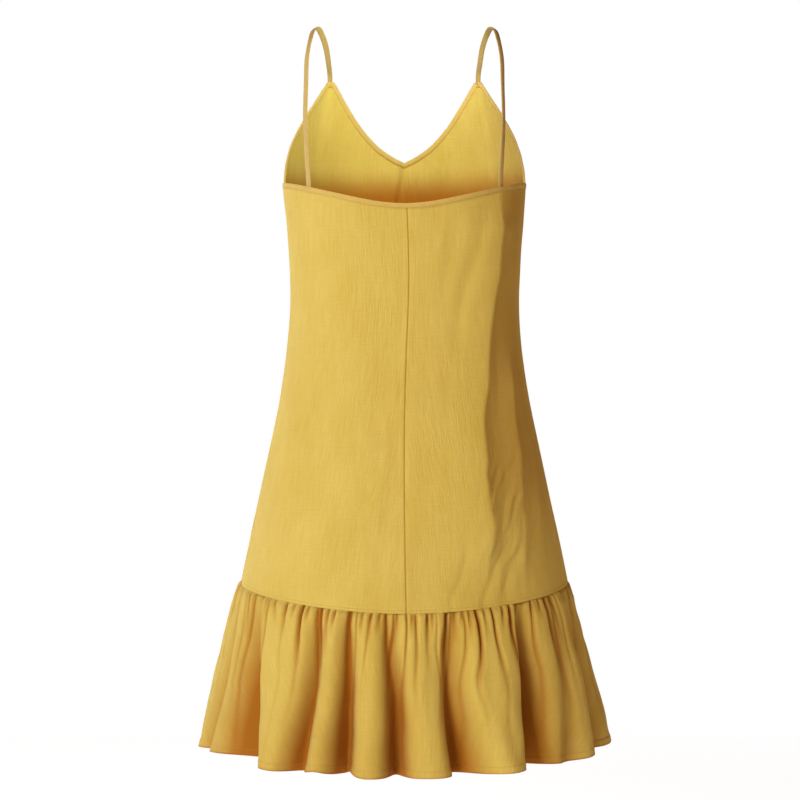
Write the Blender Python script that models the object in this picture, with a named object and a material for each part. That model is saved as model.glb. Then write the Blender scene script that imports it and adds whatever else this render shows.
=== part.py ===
"""A short dress on two thin straps, filled out as when it is worn.

Metres, +Z up. The origin is midway between the tops of the two straps. The back faces -Y, the
front faces +Y, and +X is the wearer's right. Angles run round the dress from the middle of the
back (0 degrees) through the right side (90) and the middle of the front (180) to the left (270).
Every wall is a thin shell of cloth. Its thickness is set off level, so that pieces which meet at
a seam have matching cut faces.
"""

import math
from typing import NamedTuple

import bpy
import numpy as np

# Cloth and seams
CLOTH = 0.0013
BINDING = 0.0024
BINDING_WIDTH = 0.0056
SEAM_GAP = 0.0003
BINDING_GAP = 0.0005  # wider, because a binding's edge crosses the cloth at a slant
STEP = 1e-4  # how far a point is moved to measure a slope
STEEPEST = 3.0  # a slanted strip is widened as far as this slope asks, and no further
HALVINGS = 40
ANGLE_SAMPLES = 721
ANGLE_STEPS = 8
SHARP_ANGLE = 50  # degrees

# Heights of the main edges
APEX_HEIGHT = -0.0500
NECK_BOTTOM_HEIGHT = -0.1539
UNDERARM_HEIGHT = -0.1910
BACK_NECK_DROP = 0.0320
BACK_NECK_CURVE = 2.0  # a larger power keeps an edge level for longer at the sides
SEAM_SIDE_HEIGHT = -0.6740
SEAM_BACK_DROP = 0.0270
SEAM_FRONT_DROP = 0.0180
SEAM_CURVE = 1.3
HEM_SIDE_HEIGHT = -0.8720
HEM_MIDDLE_DROP = 0.0140
HEM_CURVE = 1.5
HEM_TILT = 0.0030  # the hem is higher on the right
WAIST_HEIGHT = -0.3330

# The flat tip of each strap point
APEX_ACROSS = 0.0925
TIP_HEIGHT = -0.0572

# The straps
STRAP_WIDTH = 0.0074
STRAP_THICKNESS = 0.0024
STRAP_SIDES = 8
STRAP_ROUNDNESS = 0.6
STRAP_SECTIONS = 34
STRAP_GAP = 0.0006  # from the middle of the strap to the binding, which curves away at its edges
STRAP_LAP = 0.0080
STRAP_RISE = 0.0060
STRAP_TURN = 0.0500
STRAP_BACK_ANGLE = 56.0  # degrees
SHOULDER_ACROSS = 0.0500  # the strap's flat side faces away from this point
SHOULDER_HEIGHT = -0.1200

# The ruffle
GATHERS = 64
COLUMNS_A_GATHER = 4
GATHER_DEPTH = 0.0018
GATHER_REACH = 0.16  # the share of the ruffle in which a gather fades
GATHER_AT_SEAM = 0.45  # the share of its depth that a gather has at the seam
GATHER_RISE = 0.05  # the share of the ruffle in which a gather reaches its depth
GATHER_STAGGER = 1.7  # radians between the lengths of neighbouring gathers
GATHER_UNEVENNESS = 0.5
RUFFLE_STEP = 0.0030
RUFFLE_STEP_REACH = 0.08
VALLEY_TOP_WIDTH = 0.0080
VALLEY_AT_SEAM = 0.05  # the share of its depth that a valley has at the seam
VALLEY_GROWTH = 0.85
CREST_RISE = 0.0060
SEAM_REACH = 0.1800  # the ruffle's mean radius at the seam and at the hem
HEM_REACH = 0.2250
RUFFLE_ROWS = (0.0, 0.04, 0.12, 0.28, 0.52, 0.78, 1.0)

# The gathers under the point of the V
FRONT_GATHERS = 5
FRONT_GATHER_SPREAD = 0.0052
FRONT_GATHER_DEPTH = 0.0016
FRONT_GATHER_LENGTH = 0.0450
FRONT_GATHER_CLOSENESS = 0.55  # the share of the spread at the V, and what the fan adds below it
FRONT_GATHER_FAN = 0.90
FRONT_GATHER_EDGE = 1.6

# Columns of the panels and their bindings
PANEL_ROWS = 16
BACK_COLUMNS = 20
ARMHOLE_COLUMNS = 15
NECK_COLUMNS = 7
GATHERED_COLUMNS = 12
GATHERED_FROM = 169.5  # degrees
YELLOW = (0.68, 0.42, 0.085, 1.0)
YELLOW_TRIM = (0.71, 0.46, 0.12, 1.0)


class Ring(NamedTuple):
    """One level section of the body of the dress."""

    height: float
    half_width: float
    back: float
    front: float
    squareness: float


BODY_RINGS = (
    Ring(-0.060, 0.1280, 0.0900, 0.0975, 2.3),
    Ring(-0.107, 0.1385, 0.0980, 0.1080, 2.3),
    Ring(-0.138, 0.1445, 0.1030, 0.1120, 2.3),
    Ring(-0.170, 0.1473, 0.1060, 0.1170, 2.3),
    Ring(-0.200, 0.1470, 0.1070, 0.1210, 2.35),
    Ring(-0.235, 0.1430, 0.1070, 0.1220, 2.4),
    Ring(-0.284, 0.1396, 0.1040, 0.1160, 2.4),
    Ring(-0.333, 0.1380, 0.1010, 0.1110, 2.4),
    Ring(-0.381, 0.1410, 0.1040, 0.1120, 2.35),
    Ring(-0.455, 0.1513, 0.1180, 0.1210, 2.3),
    Ring(-0.528, 0.1671, 0.1360, 0.1340, 2.25),
    Ring(-0.601, 0.1830, 0.1510, 0.1470, 2.2),
    Ring(-0.674, 0.1985, 0.1630, 0.1580, 2.2),
    Ring(-0.740, 0.2125, 0.1740, 0.1680, 2.2),
)
HEM_RING = Ring(-0.872, 0.2440, 0.2010, 0.1940, 2.1)


class EdgePoint(NamedTuple):
    """A point of a top edge, seen straight from the front."""

    height: float
    across: float


ARMHOLE_EDGE = (
    EdgePoint(-0.0500, 0.0925),
    EdgePoint(-0.0600, 0.0978),
    EdgePoint(-0.0755, 0.1070),
    EdgePoint(-0.0910, 0.1165),
    EdgePoint(-0.1070, 0.1252),
    EdgePoint(-0.1226, 0.1330),
    EdgePoint(-0.1384, 0.1392),
    EdgePoint(-0.1540, 0.1434),
    EdgePoint(-0.1700, 0.1460),
    EdgePoint(-0.1830, 0.1470),
    EdgePoint(-0.1910, 0.1472),
)

NECK_EDGE = (
    EdgePoint(-0.1539, 0.0000),
    EdgePoint(-0.1500, 0.0085),
    EdgePoint(-0.1457, 0.0158),
    EdgePoint(-0.1383, 0.0266),
    EdgePoint(-0.1236, 0.0417),
    EdgePoint(-0.1088, 0.0543),
    EdgePoint(-0.0944, 0.0648),
    EdgePoint(-0.0803, 0.0741),
    EdgePoint(-0.0662, 0.0825),
    EdgePoint(-0.0500, 0.0925),
)


class Fold(NamedTuple):
    """A soft fold of the body, whose path is (height, across) from the top down.

    It fades out past each end, over a share of its length.
    """

    side: str
    rise: float
    half_width: float
    fade: float
    path: tuple


FOLDS = (
    Fold("back", 0.0030, 0.011, 0.2, ((-0.235, 0.110), (-0.350, 0.096), (-0.466, 0.087), (-0.600, 0.098))),
    Fold("back", -0.0030, 0.012, 0.2, ((-0.235, 0.132), (-0.350, 0.119), (-0.466, 0.112), (-0.600, 0.126))),
    Fold("back", -0.0034, 0.008, 0.2, ((-0.225, 0.094), (-0.280, 0.078), (-0.330, 0.064), (-0.370, 0.054))),
    Fold("back", 0.0028, 0.009, 0.2, ((-0.470, 0.124), (-0.530, 0.122), (-0.600, 0.130), (-0.660, 0.142))),
    Fold("back", -0.0018, 0.008, 0.2, ((-0.29, -0.106), (-0.33, -0.107), (-0.37, -0.104), (-0.41, -0.098))),
    Fold("back", -0.0016, 0.013, 0.2, ((-0.43, -0.070), (-0.50, -0.078), (-0.58, -0.088), (-0.66, -0.096))),
    Fold("front", -0.0026, 0.011, 0.2, ((-0.27, 0.082), (-0.35, 0.076), (-0.45, 0.084), (-0.60, 0.100))),
    Fold("front", -0.0026, 0.011, 0.2, ((-0.26, -0.088), (-0.36, -0.080), (-0.48, -0.086), (-0.62, -0.104))),
    Fold("front", 0.0022, 0.014, 0.2, ((-0.300, 0.030), (-0.400, 0.034), (-0.520, 0.044), (-0.650, 0.052))),
    Fold("front", 0.0070, 0.042, 0.6, ((-0.16, 0.060), (-0.21, 0.062), (-0.25, 0.062), (-0.30, 0.058))),
    Fold("front", 0.0070, 0.042, 0.6, ((-0.16, -0.060), (-0.21, -0.062), (-0.25, -0.062), (-0.30, -0.058))),
)


class Valley(NamedTuple):
    """An inward wave of the ruffle: where it runs, in degrees, and its depth and width at the hem.

    A depth below 0 makes a crest.
    """

    seam: float
    middle: float
    hem: float
    depth: float
    half_width: float


VALLEYS = (
    Valley(18.0, 17.0, 20.2, 0.044, 0.018),
    Valley(25.5, 28.0, 33.0, -0.008, 0.016),
    Valley(46.0, 46.5, 47.8, 0.074, 0.020),
    Valley(60.0, 60.0, 57.0, 0.018, 0.014),
    Valley(72.0, 74.0, 73.0, 0.030, 0.014),
    Valley(96.0, 97.0, 98.0, 0.024, 0.014),
    Valley(112.0, 115.0, 116.0, 0.040, 0.016),
    Valley(128.0, 129.0, 131.0, 0.026, 0.013),
    Valley(146.0, 144.0, 145.0, 0.044, 0.016),
    Valley(160.0, 162.0, 161.0, 0.028, 0.013),
    Valley(178.0, 177.0, 179.0, 0.038, 0.016),
    Valley(194.0, 196.0, 195.0, 0.028, 0.014),
    Valley(208.0, 209.0, 211.0, 0.044, 0.016),
    Valley(226.0, 224.0, 225.0, 0.030, 0.014),
    Valley(242.0, 243.0, 244.0, 0.042, 0.016),
    Valley(258.0, 260.0, 261.0, 0.022, 0.013),
    Valley(284.0, 283.0, 280.5, 0.014, 0.010),
    Valley(298.0, 300.0, 302.0, 0.052, 0.024),
    Valley(327.0, 326.0, 323.5, 0.044, 0.014),
    Valley(338.0, 339.5, 339.0, 0.044, 0.014),
    Valley(353.0, 357.0, 359.0, 0.036, 0.014),
)


class Wander(NamedTuple):
    """How the gathers close up and open out again round the ruffle, in radians."""

    turns: int
    reach: float
    start: float


GATHER_WANDERS = (
    Wander(7, 0.010, 0.0),
    Wander(11, 0.006, 1.0),
)


class StrapPoint(NamedTuple):
    """A point of the middle line of a strap, from the back up over the shoulder to the front."""

    across: float
    depth: float
    height: float


STRAP_PATH = (
    StrapPoint(0.1170, -0.0765, -0.1620),
    StrapPoint(0.1190, -0.0715, -0.1280),
    StrapPoint(0.1180, -0.0580, -0.0760),
    StrapPoint(0.1168, -0.0440, -0.0410),
    StrapPoint(0.1140, -0.0320, -0.0215),
    StrapPoint(0.1105, -0.0170, -0.0065),
    StrapPoint(0.1057, 0.0000, -0.0012),
    StrapPoint(0.1012, 0.0200, -0.0065),
    StrapPoint(0.0965, 0.0400, -0.0200),
    StrapPoint(0.0942, 0.0575, -0.0355),
)


def smooth_curve(places, values, at):
    """The values of a smooth curve through the given points, for an array of places."""
    places = np.asarray(places, float)
    values = np.asarray(values, float)
    slopes = np.gradient(values, places)
    at = np.clip(at, places[0], places[-1])
    i = np.clip(np.searchsorted(places, at, side="right") - 1, 0, len(places) - 2)
    span = places[i + 1] - places[i]
    t = (at - places[i]) / span
    start = values[i] * (1 + 2 * t) * (1 - t) ** 2 + slopes[i] * span * t * (1 - t) ** 2
    end = values[i + 1] * t**2 * (3 - 2 * t) + slopes[i + 1] * span * t**2 * (t - 1)
    return start + end


def ring_column(name, height):
    """One column of the body's rings, read at an array of heights."""
    rows = sorted(BODY_RINGS, key=lambda ring: ring.height)
    return smooth_curve([row.height for row in rows], [getattr(row, name) for row in rows], height)


def radius(angle, half_width, depth_back, depth_front, squareness):
    """How far a ring reaches from the middle at an angle."""
    across = np.abs(np.sin(angle)) / half_width
    depth = np.where(np.cos(angle) >= 0, depth_back, depth_front)
    along = np.abs(np.cos(angle)) / depth
    return (across**squareness + along**squareness) ** (-1 / squareness)


def plain_radius(angle, height):
    """The radius of the body with no folds."""
    return radius(
        angle,
        ring_column("half_width", height),
        ring_column("back", height),
        ring_column("front", height),
        ring_column("squareness", height),
    )


def placed(angle, distance, height):
    """Points at an angle and a distance from the upright axis."""
    return np.stack([distance * np.sin(angle), -distance * np.cos(angle), height + 0 * angle], axis=-1)


def backness(angle):
    """1 in the middle of the back, 0 at the sides and on the front."""
    return np.clip(np.cos(angle), 0, 1)


def frontness(angle):
    """1 in the middle of the front, 0 at the sides and on the back."""
    return np.clip(-np.cos(angle), 0, 1)


def fold_rise(angle, height, across):
    """How far the folds of the body lift the cloth outwards."""
    total = 0 * angle
    for fold in FOLDS:
        heights = [point[0] for point in fold.path][::-1]
        places = [point[1] for point in fold.path][::-1]
        away = (across - smooth_curve(heights, places, height)) / fold.half_width
        span = heights[-1] - heights[0]
        fade = np.clip((height - heights[0]) / (fold.fade * span) + 1, 0, 1)
        fade = fade * np.clip((heights[-1] - height) / (fold.fade * span) + 1, 0, 1)
        half = np.cos(angle) if fold.side == "back" else -np.cos(angle)
        soft = fade * fade * (3 - 2 * fade)
        total = total + np.where(half > 0, fold.rise * soft * np.exp(-(away**2)), 0)
    return total


def front_gather_rise(angle, height, across):
    """The small gathers that fan out under the point of the V."""
    below = np.clip((NECK_BOTTOM_HEIGHT - height) / FRONT_GATHER_LENGTH, 0, 1)
    spread = FRONT_GATHER_SPREAD * (FRONT_GATHER_CLOSENESS + FRONT_GATHER_FAN * below)
    wave = np.cos(2 * math.pi * across / spread)
    within = np.clip(FRONT_GATHER_EDGE - np.abs(across) / (spread * FRONT_GATHERS / 2), 0, 1)
    strength = FRONT_GATHER_DEPTH * (1 - below) * within
    return np.where(np.cos(angle) < 0, strength * wave, 0)


def body_point(angle, height):
    """Points of the middle of the body's cloth."""
    distance = plain_radius(angle, height)
    across = distance * np.sin(angle)
    rise = fold_rise(angle, height, across) + front_gather_rise(angle, height, across)
    return placed(angle, distance + rise, height)


def seam_height(angle):
    """The height of the seam between the body and the ruffle."""
    back_drop = SEAM_BACK_DROP * backness(angle) ** SEAM_CURVE
    front_drop = SEAM_FRONT_DROP * frontness(angle) ** SEAM_CURVE
    return SEAM_SIDE_HEIGHT - back_drop - front_drop


def hem_height(angle):
    """The height of the hem."""
    drop = HEM_MIDDLE_DROP * np.abs(np.cos(angle)) ** HEM_CURVE
    return HEM_SIDE_HEIGHT - drop + HEM_TILT * np.sin(angle)


def back_neck_height(angle):
    """The height of the top edge of the back."""
    return UNDERARM_HEIGHT - BACK_NECK_DROP * backness(angle) ** BACK_NECK_CURVE


def front_across(angle, height):
    """How far from the middle a front point is, with no folds."""
    return np.abs(plain_radius(angle, height) * np.sin(angle))


def armhole_height(angle):
    """The height at which the armhole edge crosses each angle, found by halving."""
    rows = sorted(ARMHOLE_EDGE, key=lambda row: row.height)
    heights = [row.height for row in rows]
    places = [row.across for row in rows]
    low = np.full(np.shape(angle), UNDERARM_HEIGHT)
    high = np.full(np.shape(angle), APEX_HEIGHT)
    for _ in range(HALVINGS):
        middle = (low + high) / 2
        inside = front_across(angle, middle) < smooth_curve(heights, places, middle)
        low = np.where(inside, middle, low)
        high = np.where(inside, high, middle)
    return (low + high) / 2


def neck_height(angle):
    """The height of the V edge at each angle, found by halving."""
    heights = [row.height for row in NECK_EDGE]
    places = [row.across for row in NECK_EDGE]
    low = np.full(np.shape(angle), NECK_BOTTOM_HEIGHT)
    high = np.full(np.shape(angle), APEX_HEIGHT)
    for _ in range(HALVINGS):
        middle = (low + high) / 2
        outside = front_across(angle, middle) > smooth_curve(heights, places, middle)
        low = np.where(outside, middle, low)
        high = np.where(outside, high, middle)
    return (low + high) / 2


def slant(edge, angle):
    """How much longer an upright line across a sloping strip is than the strip's width."""
    ahead = body_point(angle + STEP, edge(angle + STEP))
    behind = body_point(angle - STEP, edge(angle - STEP))
    run = np.linalg.norm(ahead[..., :2] - behind[..., :2], axis=-1)
    rise = ahead[..., 2] - behind[..., 2]
    return np.sqrt(1 + np.minimum(np.abs(rise / run), STEEPEST) ** 2)


def under(edge, depth):
    """A function of angle that runs a given width below an edge, square to it."""
    return lambda angle: edge(angle) - depth * slant(edge, angle)


def capped(edge):
    """An edge cut off level at the tip that the strap stands on."""
    return lambda angle: np.minimum(edge(angle), TIP_HEIGHT)


def apex_angle():
    """The angle of the strap point on the right of the front."""
    angles = np.linspace(math.pi, math.pi / 2, ANGLE_SAMPLES)
    across = front_across(angles, np.full(angles.shape, APEX_HEIGHT))
    return float(np.interp(APEX_ACROSS, across, angles))


def front_panel_top(angle):
    """The upper edge of the front panel, under its bindings."""
    mirrored = np.where(angle > math.pi, 2 * math.pi - angle, angle)
    apex = apex_angle()
    neck = under(neck_height, BINDING_WIDTH + BINDING_GAP)(np.maximum(mirrored, apex))
    arm = under(armhole_height, BINDING_WIDTH + BINDING_GAP)(np.minimum(mirrored, apex))
    tip = float(under(neck_height, BINDING_WIDTH + BINDING_GAP)(np.array([apex]))[0])
    peak = min(tip, TIP_HEIGHT - BINDING_WIDTH - BINDING_GAP)
    return np.minimum(np.where(mirrored > apex, neck, arm), peak)


def level_normals(surface, first, second):
    """Unit vectors that point out of a surface, made level."""
    along = surface(first + STEP, second) - surface(first - STEP, second)
    down = surface(first, second + STEP) - surface(first, second - STEP)
    out = np.cross(down, along)
    points = surface(first, second)
    out[..., 2] = 0
    out /= np.linalg.norm(out, axis=-1, keepdims=True)
    facing = np.sum(out[..., :2] * points[..., :2], axis=-1).sum()
    return out if facing > 0 else -out


def wall_mesh(name, outside, inside):
    """A closed thin wall between two grids of points, as a Blender mesh."""
    rows, columns = outside.shape[:2]
    count = rows * columns
    points = np.concatenate([outside.reshape(-1, 3), inside.reshape(-1, 3)])
    index = np.arange(count).reshape(rows, columns)
    faces = []
    for r in range(rows - 1):
        for c in range(columns - 1):
            a, b = index[r, c], index[r, c + 1]
            d, e = index[r + 1, c + 1], index[r + 1, c]
            faces.append((a, b, d, e))
            faces.append((a + count, e + count, d + count, b + count))
    rim = [*index[0, :-1], *index[:-1, -1], *index[-1, :0:-1], *index[:0:-1, 0]]
    for i, start in enumerate(rim):
        end = rim[(i + 1) % len(rim)]
        faces.append((start, start + count, end + count, end))
    mesh = bpy.data.meshes.new(name)
    mesh.from_pydata([tuple(map(float, p)) for p in points], [], [tuple(map(int, f)) for f in faces])
    return mesh


def face_outwards(mesh):
    """Turns every face round if the closed mesh is inside out."""
    mesh.calc_loop_triangles()
    volume = 0.0
    for triangle in mesh.loop_triangles:
        a, b, c = (mesh.vertices[i].co for i in triangle.vertices)
        volume += a.dot(b.cross(c))
    if volume < 0:
        mesh.flip_normals()


def cloth_material(name, colour):
    """A plain matt cloth."""
    material = bpy.data.materials.new(name)
    material.use_nodes = True
    shader = material.node_tree.nodes["Principled BSDF"]
    shader.inputs["Base Color"].default_value = colour
    shader.inputs["Roughness"].default_value = 0.85
    shader.inputs["Metallic"].default_value = 0.0
    return material


def add_object(name, mesh, colour):
    """Puts a finished mesh in the scene as one named piece."""
    face_outwards(mesh)
    mesh.shade_smooth()
    mesh.set_sharp_from_angle(angle=math.radians(SHARP_ANGLE))
    mesh.materials.append(cloth_material(name + "_cloth", colour))
    piece = bpy.data.objects.new(name, mesh)
    bpy.context.scene.collection.objects.link(piece)
    return piece


def add_wall(name, surface, first, second, thickness, colour):
    """A piece of cloth on a surface, from a grid of its two coordinates."""
    points = surface(first, second)
    out = level_normals(surface, first, second)
    mesh = wall_mesh(name, points + out * thickness / 2, points - out * thickness / 2)
    return add_object(name, mesh, colour)


def between(angles, low, high, rows):
    """Grids of angle and height for a piece between two edges."""
    angles = np.asarray(angles, float)
    share = np.linspace(0, 1, rows)[:, None]
    height = low(angles) * (1 - share) + high(angles) * share
    return np.broadcast_to(angles, height.shape).copy(), height


def gap_angle(angle, height):
    """Half a seam gap, as an angle."""
    at = np.array([angle])
    return 0.5 * SEAM_GAP / float(plain_radius(at, np.array([height]))[0])


def body_low(angle):
    """The lower edge of the body's panels."""
    return seam_height(angle) + SEAM_GAP / 2


def side_gap():
    """Half the gap at a side seam, as an angle."""
    return gap_angle(math.pi / 2, WAIST_HEIGHT)


def back_columns():
    """The angles of the right back panel's columns."""
    return np.linspace(gap_angle(0.0, SEAM_SIDE_HEIGHT), math.pi / 2 - side_gap(), BACK_COLUMNS)


def add_back_panels():
    """The two halves of the back, each side of the middle seam."""
    top = under(back_neck_height, BINDING_WIDTH + BINDING_GAP)
    right = back_columns()
    for name, angles in (("back_right_panel", right), ("back_left_panel", -right[::-1])):
        first, second = between(angles, body_low, top, PANEL_ROWS)
        add_wall(name, body_point, first, second, CLOTH, YELLOW)


def armhole_columns():
    """The angles of the front's columns from the side seam to the strap point."""
    return np.linspace(math.pi / 2 + side_gap(), apex_angle(), ARMHOLE_COLUMNS)


def neck_columns():
    """The angles of the front's columns from the strap point to the middle, close by the gathers."""
    near = math.radians(GATHERED_FROM)
    outer = np.linspace(apex_angle(), near, NECK_COLUMNS)
    return np.concatenate([outer, np.linspace(near, math.pi, GATHERED_COLUMNS)[1:]])


def both_halves(angles):
    """The columns of the right half of the front and their mirror images."""
    return np.concatenate([angles, (2 * math.pi - angles[:-1])[::-1]])


def add_front_panel():
    """The front, from side seam to side seam, up to the V and the armholes."""
    columns = both_halves(np.concatenate([armhole_columns(), neck_columns()[1:]]))
    first, second = between(columns, body_low, front_panel_top, PANEL_ROWS)
    add_wall("front_panel", body_point, first, second, CLOTH, YELLOW)


def add_back_binding():
    """The binding along the top edge of the back."""
    right = back_columns()
    angles = np.concatenate([-right[:0:-1], [0.0], right[1:]])
    low = under(back_neck_height, BINDING_WIDTH)
    first, second = between(angles, low, back_neck_height, 2)
    add_wall("back_neck_binding", body_point, first, second, BINDING, YELLOW_TRIM)


def mirrored(edge):
    """An edge of the right half of the front, read on both halves."""
    return lambda angle: edge(np.where(angle > math.pi, 2 * math.pi - angle, angle))


def add_front_bindings():
    """The binding of the V and of each armhole, which meet at the strap points."""
    gap = gap_angle(apex_angle(), APEX_HEIGHT)
    neck = neck_columns()
    neck[0] += gap
    low = mirrored(under(neck_height, BINDING_WIDTH))
    first, second = between(both_halves(neck), low, mirrored(capped(neck_height)), 2)
    add_wall("neck_binding", body_point, first, second, BINDING, YELLOW_TRIM)

    arm = armhole_columns()
    arm[-1] -= gap
    low = mirrored(under(armhole_height, BINDING_WIDTH))
    for name, angles in (("right", arm), ("left", (2 * math.pi - arm)[::-1])):
        first, second = between(angles, low, mirrored(capped(armhole_height)), 2)
        add_wall("armhole_binding_" + name, body_point, first, second, BINDING, YELLOW_TRIM)


def ruffle_rise(angle, share):
    """How far the waves and gathers of the ruffle lift it outwards."""
    total = CREST_RISE * share
    growth = VALLEY_AT_SEAM + (1 - VALLEY_AT_SEAM) * np.maximum(share, 0) ** VALLEY_GROWTH
    reach = SEAM_REACH + (HEM_REACH - SEAM_REACH) * share
    for valley in VALLEYS:
        path = smooth_curve([0, 0.5, 1], [valley.seam, valley.middle, valley.hem], share)
        away = np.degrees(angle) - path
        width = VALLEY_TOP_WIDTH + (valley.half_width - VALLEY_TOP_WIDTH) * share
        away = np.radians((away + 180) % 360 - 180) * reach / width
        total = total - valley.depth * growth * np.exp(-(away**2))
    phase = gather_phase(angle)
    reach = GATHER_REACH * (1 + GATHER_UNEVENNESS * np.sin(GATHER_STAGGER * np.floor(phase)))
    start = GATHER_AT_SEAM + (1 - GATHER_AT_SEAM) * np.minimum(share / GATHER_RISE, 1)
    return total + GATHER_DEPTH * start * np.exp(-share / reach) * np.cos(2 * math.pi * phase)


def gather_angle(phase):
    """The angle of a gather, which isn't evenly spaced."""
    turn = 2 * math.pi * phase / GATHERS
    for wander in GATHER_WANDERS:
        turn = turn + wander.reach * np.sin(wander.turns * phase * 2 * math.pi / GATHERS + wander.start)
    return turn


def gather_phase(angle):
    """The number of gathers up to an angle, found from gather_angle by stepping."""
    phase = angle * GATHERS / (2 * math.pi)
    for _ in range(ANGLE_STEPS):
        phase = phase + (angle - gather_angle(phase)) * GATHERS / (2 * math.pi)
    return phase


def ruffle_point(angle, share):
    """Points of the ruffle's cloth, from the seam (0) to the hem (1)."""
    top_height = seam_height(angle) - SEAM_GAP / 2
    top = plain_radius(angle, top_height)
    hem = radius(angle, HEM_RING.half_width, HEM_RING.back, HEM_RING.front, HEM_RING.squareness)
    step = RUFFLE_STEP * np.clip(share / RUFFLE_STEP_REACH, 0, 1) * (1 - share)
    distance = top * (1 - share) + hem * share + step + ruffle_rise(angle, share)
    height = top_height * (1 - share) + hem_height(angle) * share
    return placed(angle, distance, height)


def add_ruffles():
    """The gathered tier, in a back width and a front width that meet at the side seams."""
    for name, start in (("ruffle_back", -0.25), ("ruffle_front", 0.25)):
        steps = np.arange(0, GATHERS * COLUMNS_A_GATHER // 2 + 1) / COLUMNS_A_GATHER
        angles = gather_angle(start * GATHERS + steps)
        side = gap_angle(math.pi / 2, SEAM_SIDE_HEIGHT)
        angles[0] = 2 * math.pi * start + side
        angles[-1] = 2 * math.pi * (start + 0.5) - side
        share = np.array(RUFFLE_ROWS)[:, None] + 0 * angles
        first = np.broadcast_to(angles, share.shape).copy()
        add_wall(name, ruffle_point, first, share, CLOTH, YELLOW)


def back_seat(above, side):
    """A point just inside the back binding where the strap is sewn on, and the way out there."""
    angle = np.array([math.radians(side * STRAP_BACK_ANGLE)])
    height = back_neck_height(angle) + above
    out = level_normals(body_point, angle, height)[0]
    depth = BINDING / 2 + STRAP_GAP + STRAP_THICKNESS / 2
    return body_point(angle, height)[0] - out * depth, out


def front_seat(above, side):
    """A point over the middle of the flat tip of a strap point, and the way out there."""
    angle = np.array([side * apex_angle()])
    height = np.array([TIP_HEIGHT])
    out = level_normals(body_point, angle, height)[0]
    return body_point(angle, height)[0] + (0, 0, above), out


def strap_line(side):
    """The middle line of a strap and the way its flat side faces, from back to front."""
    lap, back_out = back_seat(-STRAP_LAP, side)
    edge, _ = back_seat(STRAP_RISE, side)
    tip, front_out = front_seat(SEAM_GAP, side)
    over, _ = front_seat(STRAP_RISE, side)
    path = np.array(STRAP_PATH) * (side, 1, 1)
    points = np.array([lap, edge, *path, over, tip])
    length = np.concatenate([[0], np.cumsum(np.linalg.norm(np.diff(points, axis=0), axis=1))])
    at = np.linspace(0, length[-1], STRAP_SECTIONS)
    line = np.stack([smooth_curve(length, points[:, axis], at) for axis in range(3)], axis=1)
    shoulder = np.array([side * SHOULDER_ACROSS, 0, SHOULDER_HEIGHT])
    near_back = np.clip(1 - (at - STRAP_LAP) / STRAP_TURN, 0, 1)[:, None]
    near_front = np.clip(1 - (at[-1] - at) / STRAP_TURN, 0, 1)[:, None]
    away = (line - shoulder) / np.linalg.norm(line - shoulder, axis=1, keepdims=True)
    facing = away * (1 - near_back) * (1 - near_front) + back_out * near_back + front_out * near_front
    return line, facing


def strap_section(point, tangent, facing):
    """The points round one section of a strap: a flat tube with rounded edges."""
    out = facing - tangent * facing.dot(tangent)
    out /= np.linalg.norm(out)
    edge = np.cross(tangent, out)
    turns = 2 * math.pi * (np.arange(STRAP_SIDES) + 0.5) / STRAP_SIDES
    wide = np.sign(np.cos(turns)) * np.abs(np.cos(turns)) ** STRAP_ROUNDNESS * STRAP_WIDTH / 2
    thick = np.sin(turns) * STRAP_THICKNESS / 2
    return point + wide[:, None] * edge + thick[:, None] * out


def add_strap(name, side):
    """One strap, as a closed flat tube with level ends."""
    line, facing = strap_line(side)
    tangents = np.gradient(line, axis=0)
    tangents[0] = (0, 0, 1)
    tangents[-1] = (0, 0, -1)
    tangents /= np.linalg.norm(tangents, axis=1, keepdims=True)
    points = np.concatenate([strap_section(*row) for row in zip(line, tangents, facing)])
    faces = []
    for s in range(STRAP_SECTIONS - 1):
        for k in range(STRAP_SIDES):
            a, b = s * STRAP_SIDES + k, s * STRAP_SIDES + (k + 1) % STRAP_SIDES
            faces.append((a, b, b + STRAP_SIDES, a + STRAP_SIDES))
    last = (STRAP_SECTIONS - 1) * STRAP_SIDES
    faces.append(tuple(range(STRAP_SIDES))[::-1])
    faces.append(tuple(range(last, last + STRAP_SIDES)))
    mesh = bpy.data.meshes.new(name)
    mesh.from_pydata([tuple(map(float, p)) for p in points], [], faces)
    add_object(name, mesh, YELLOW_TRIM)


def clear_scene():
    """Removes what the scene starts with."""
    for piece in list(bpy.data.objects):
        bpy.data.objects.remove(piece, do_unlink=True)


def main():
    clear_scene()
    add_back_panels()
    add_front_panel()
    add_back_binding()
    add_front_bindings()
    add_ruffles()
    add_strap("strap_right", 1)
    add_strap("strap_left", -1)


main()
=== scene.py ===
"""A short dress on two thin straps, dressed for its picture.

Metres, +Z up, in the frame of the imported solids. The origin is midway between the tops of the two
straps. The back faces -Y, the front faces +Y and +X is the wearer's right. Angles run round the
dress from the middle of the back (0) through the right side, the front and the left side. A share
runs down the gathered tier, from its seam (0) to its hem (1).
"""

import logging
import math
from dataclasses import dataclass, field
from enum import Enum
from typing import Callable, NamedTuple, Sequence

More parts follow.
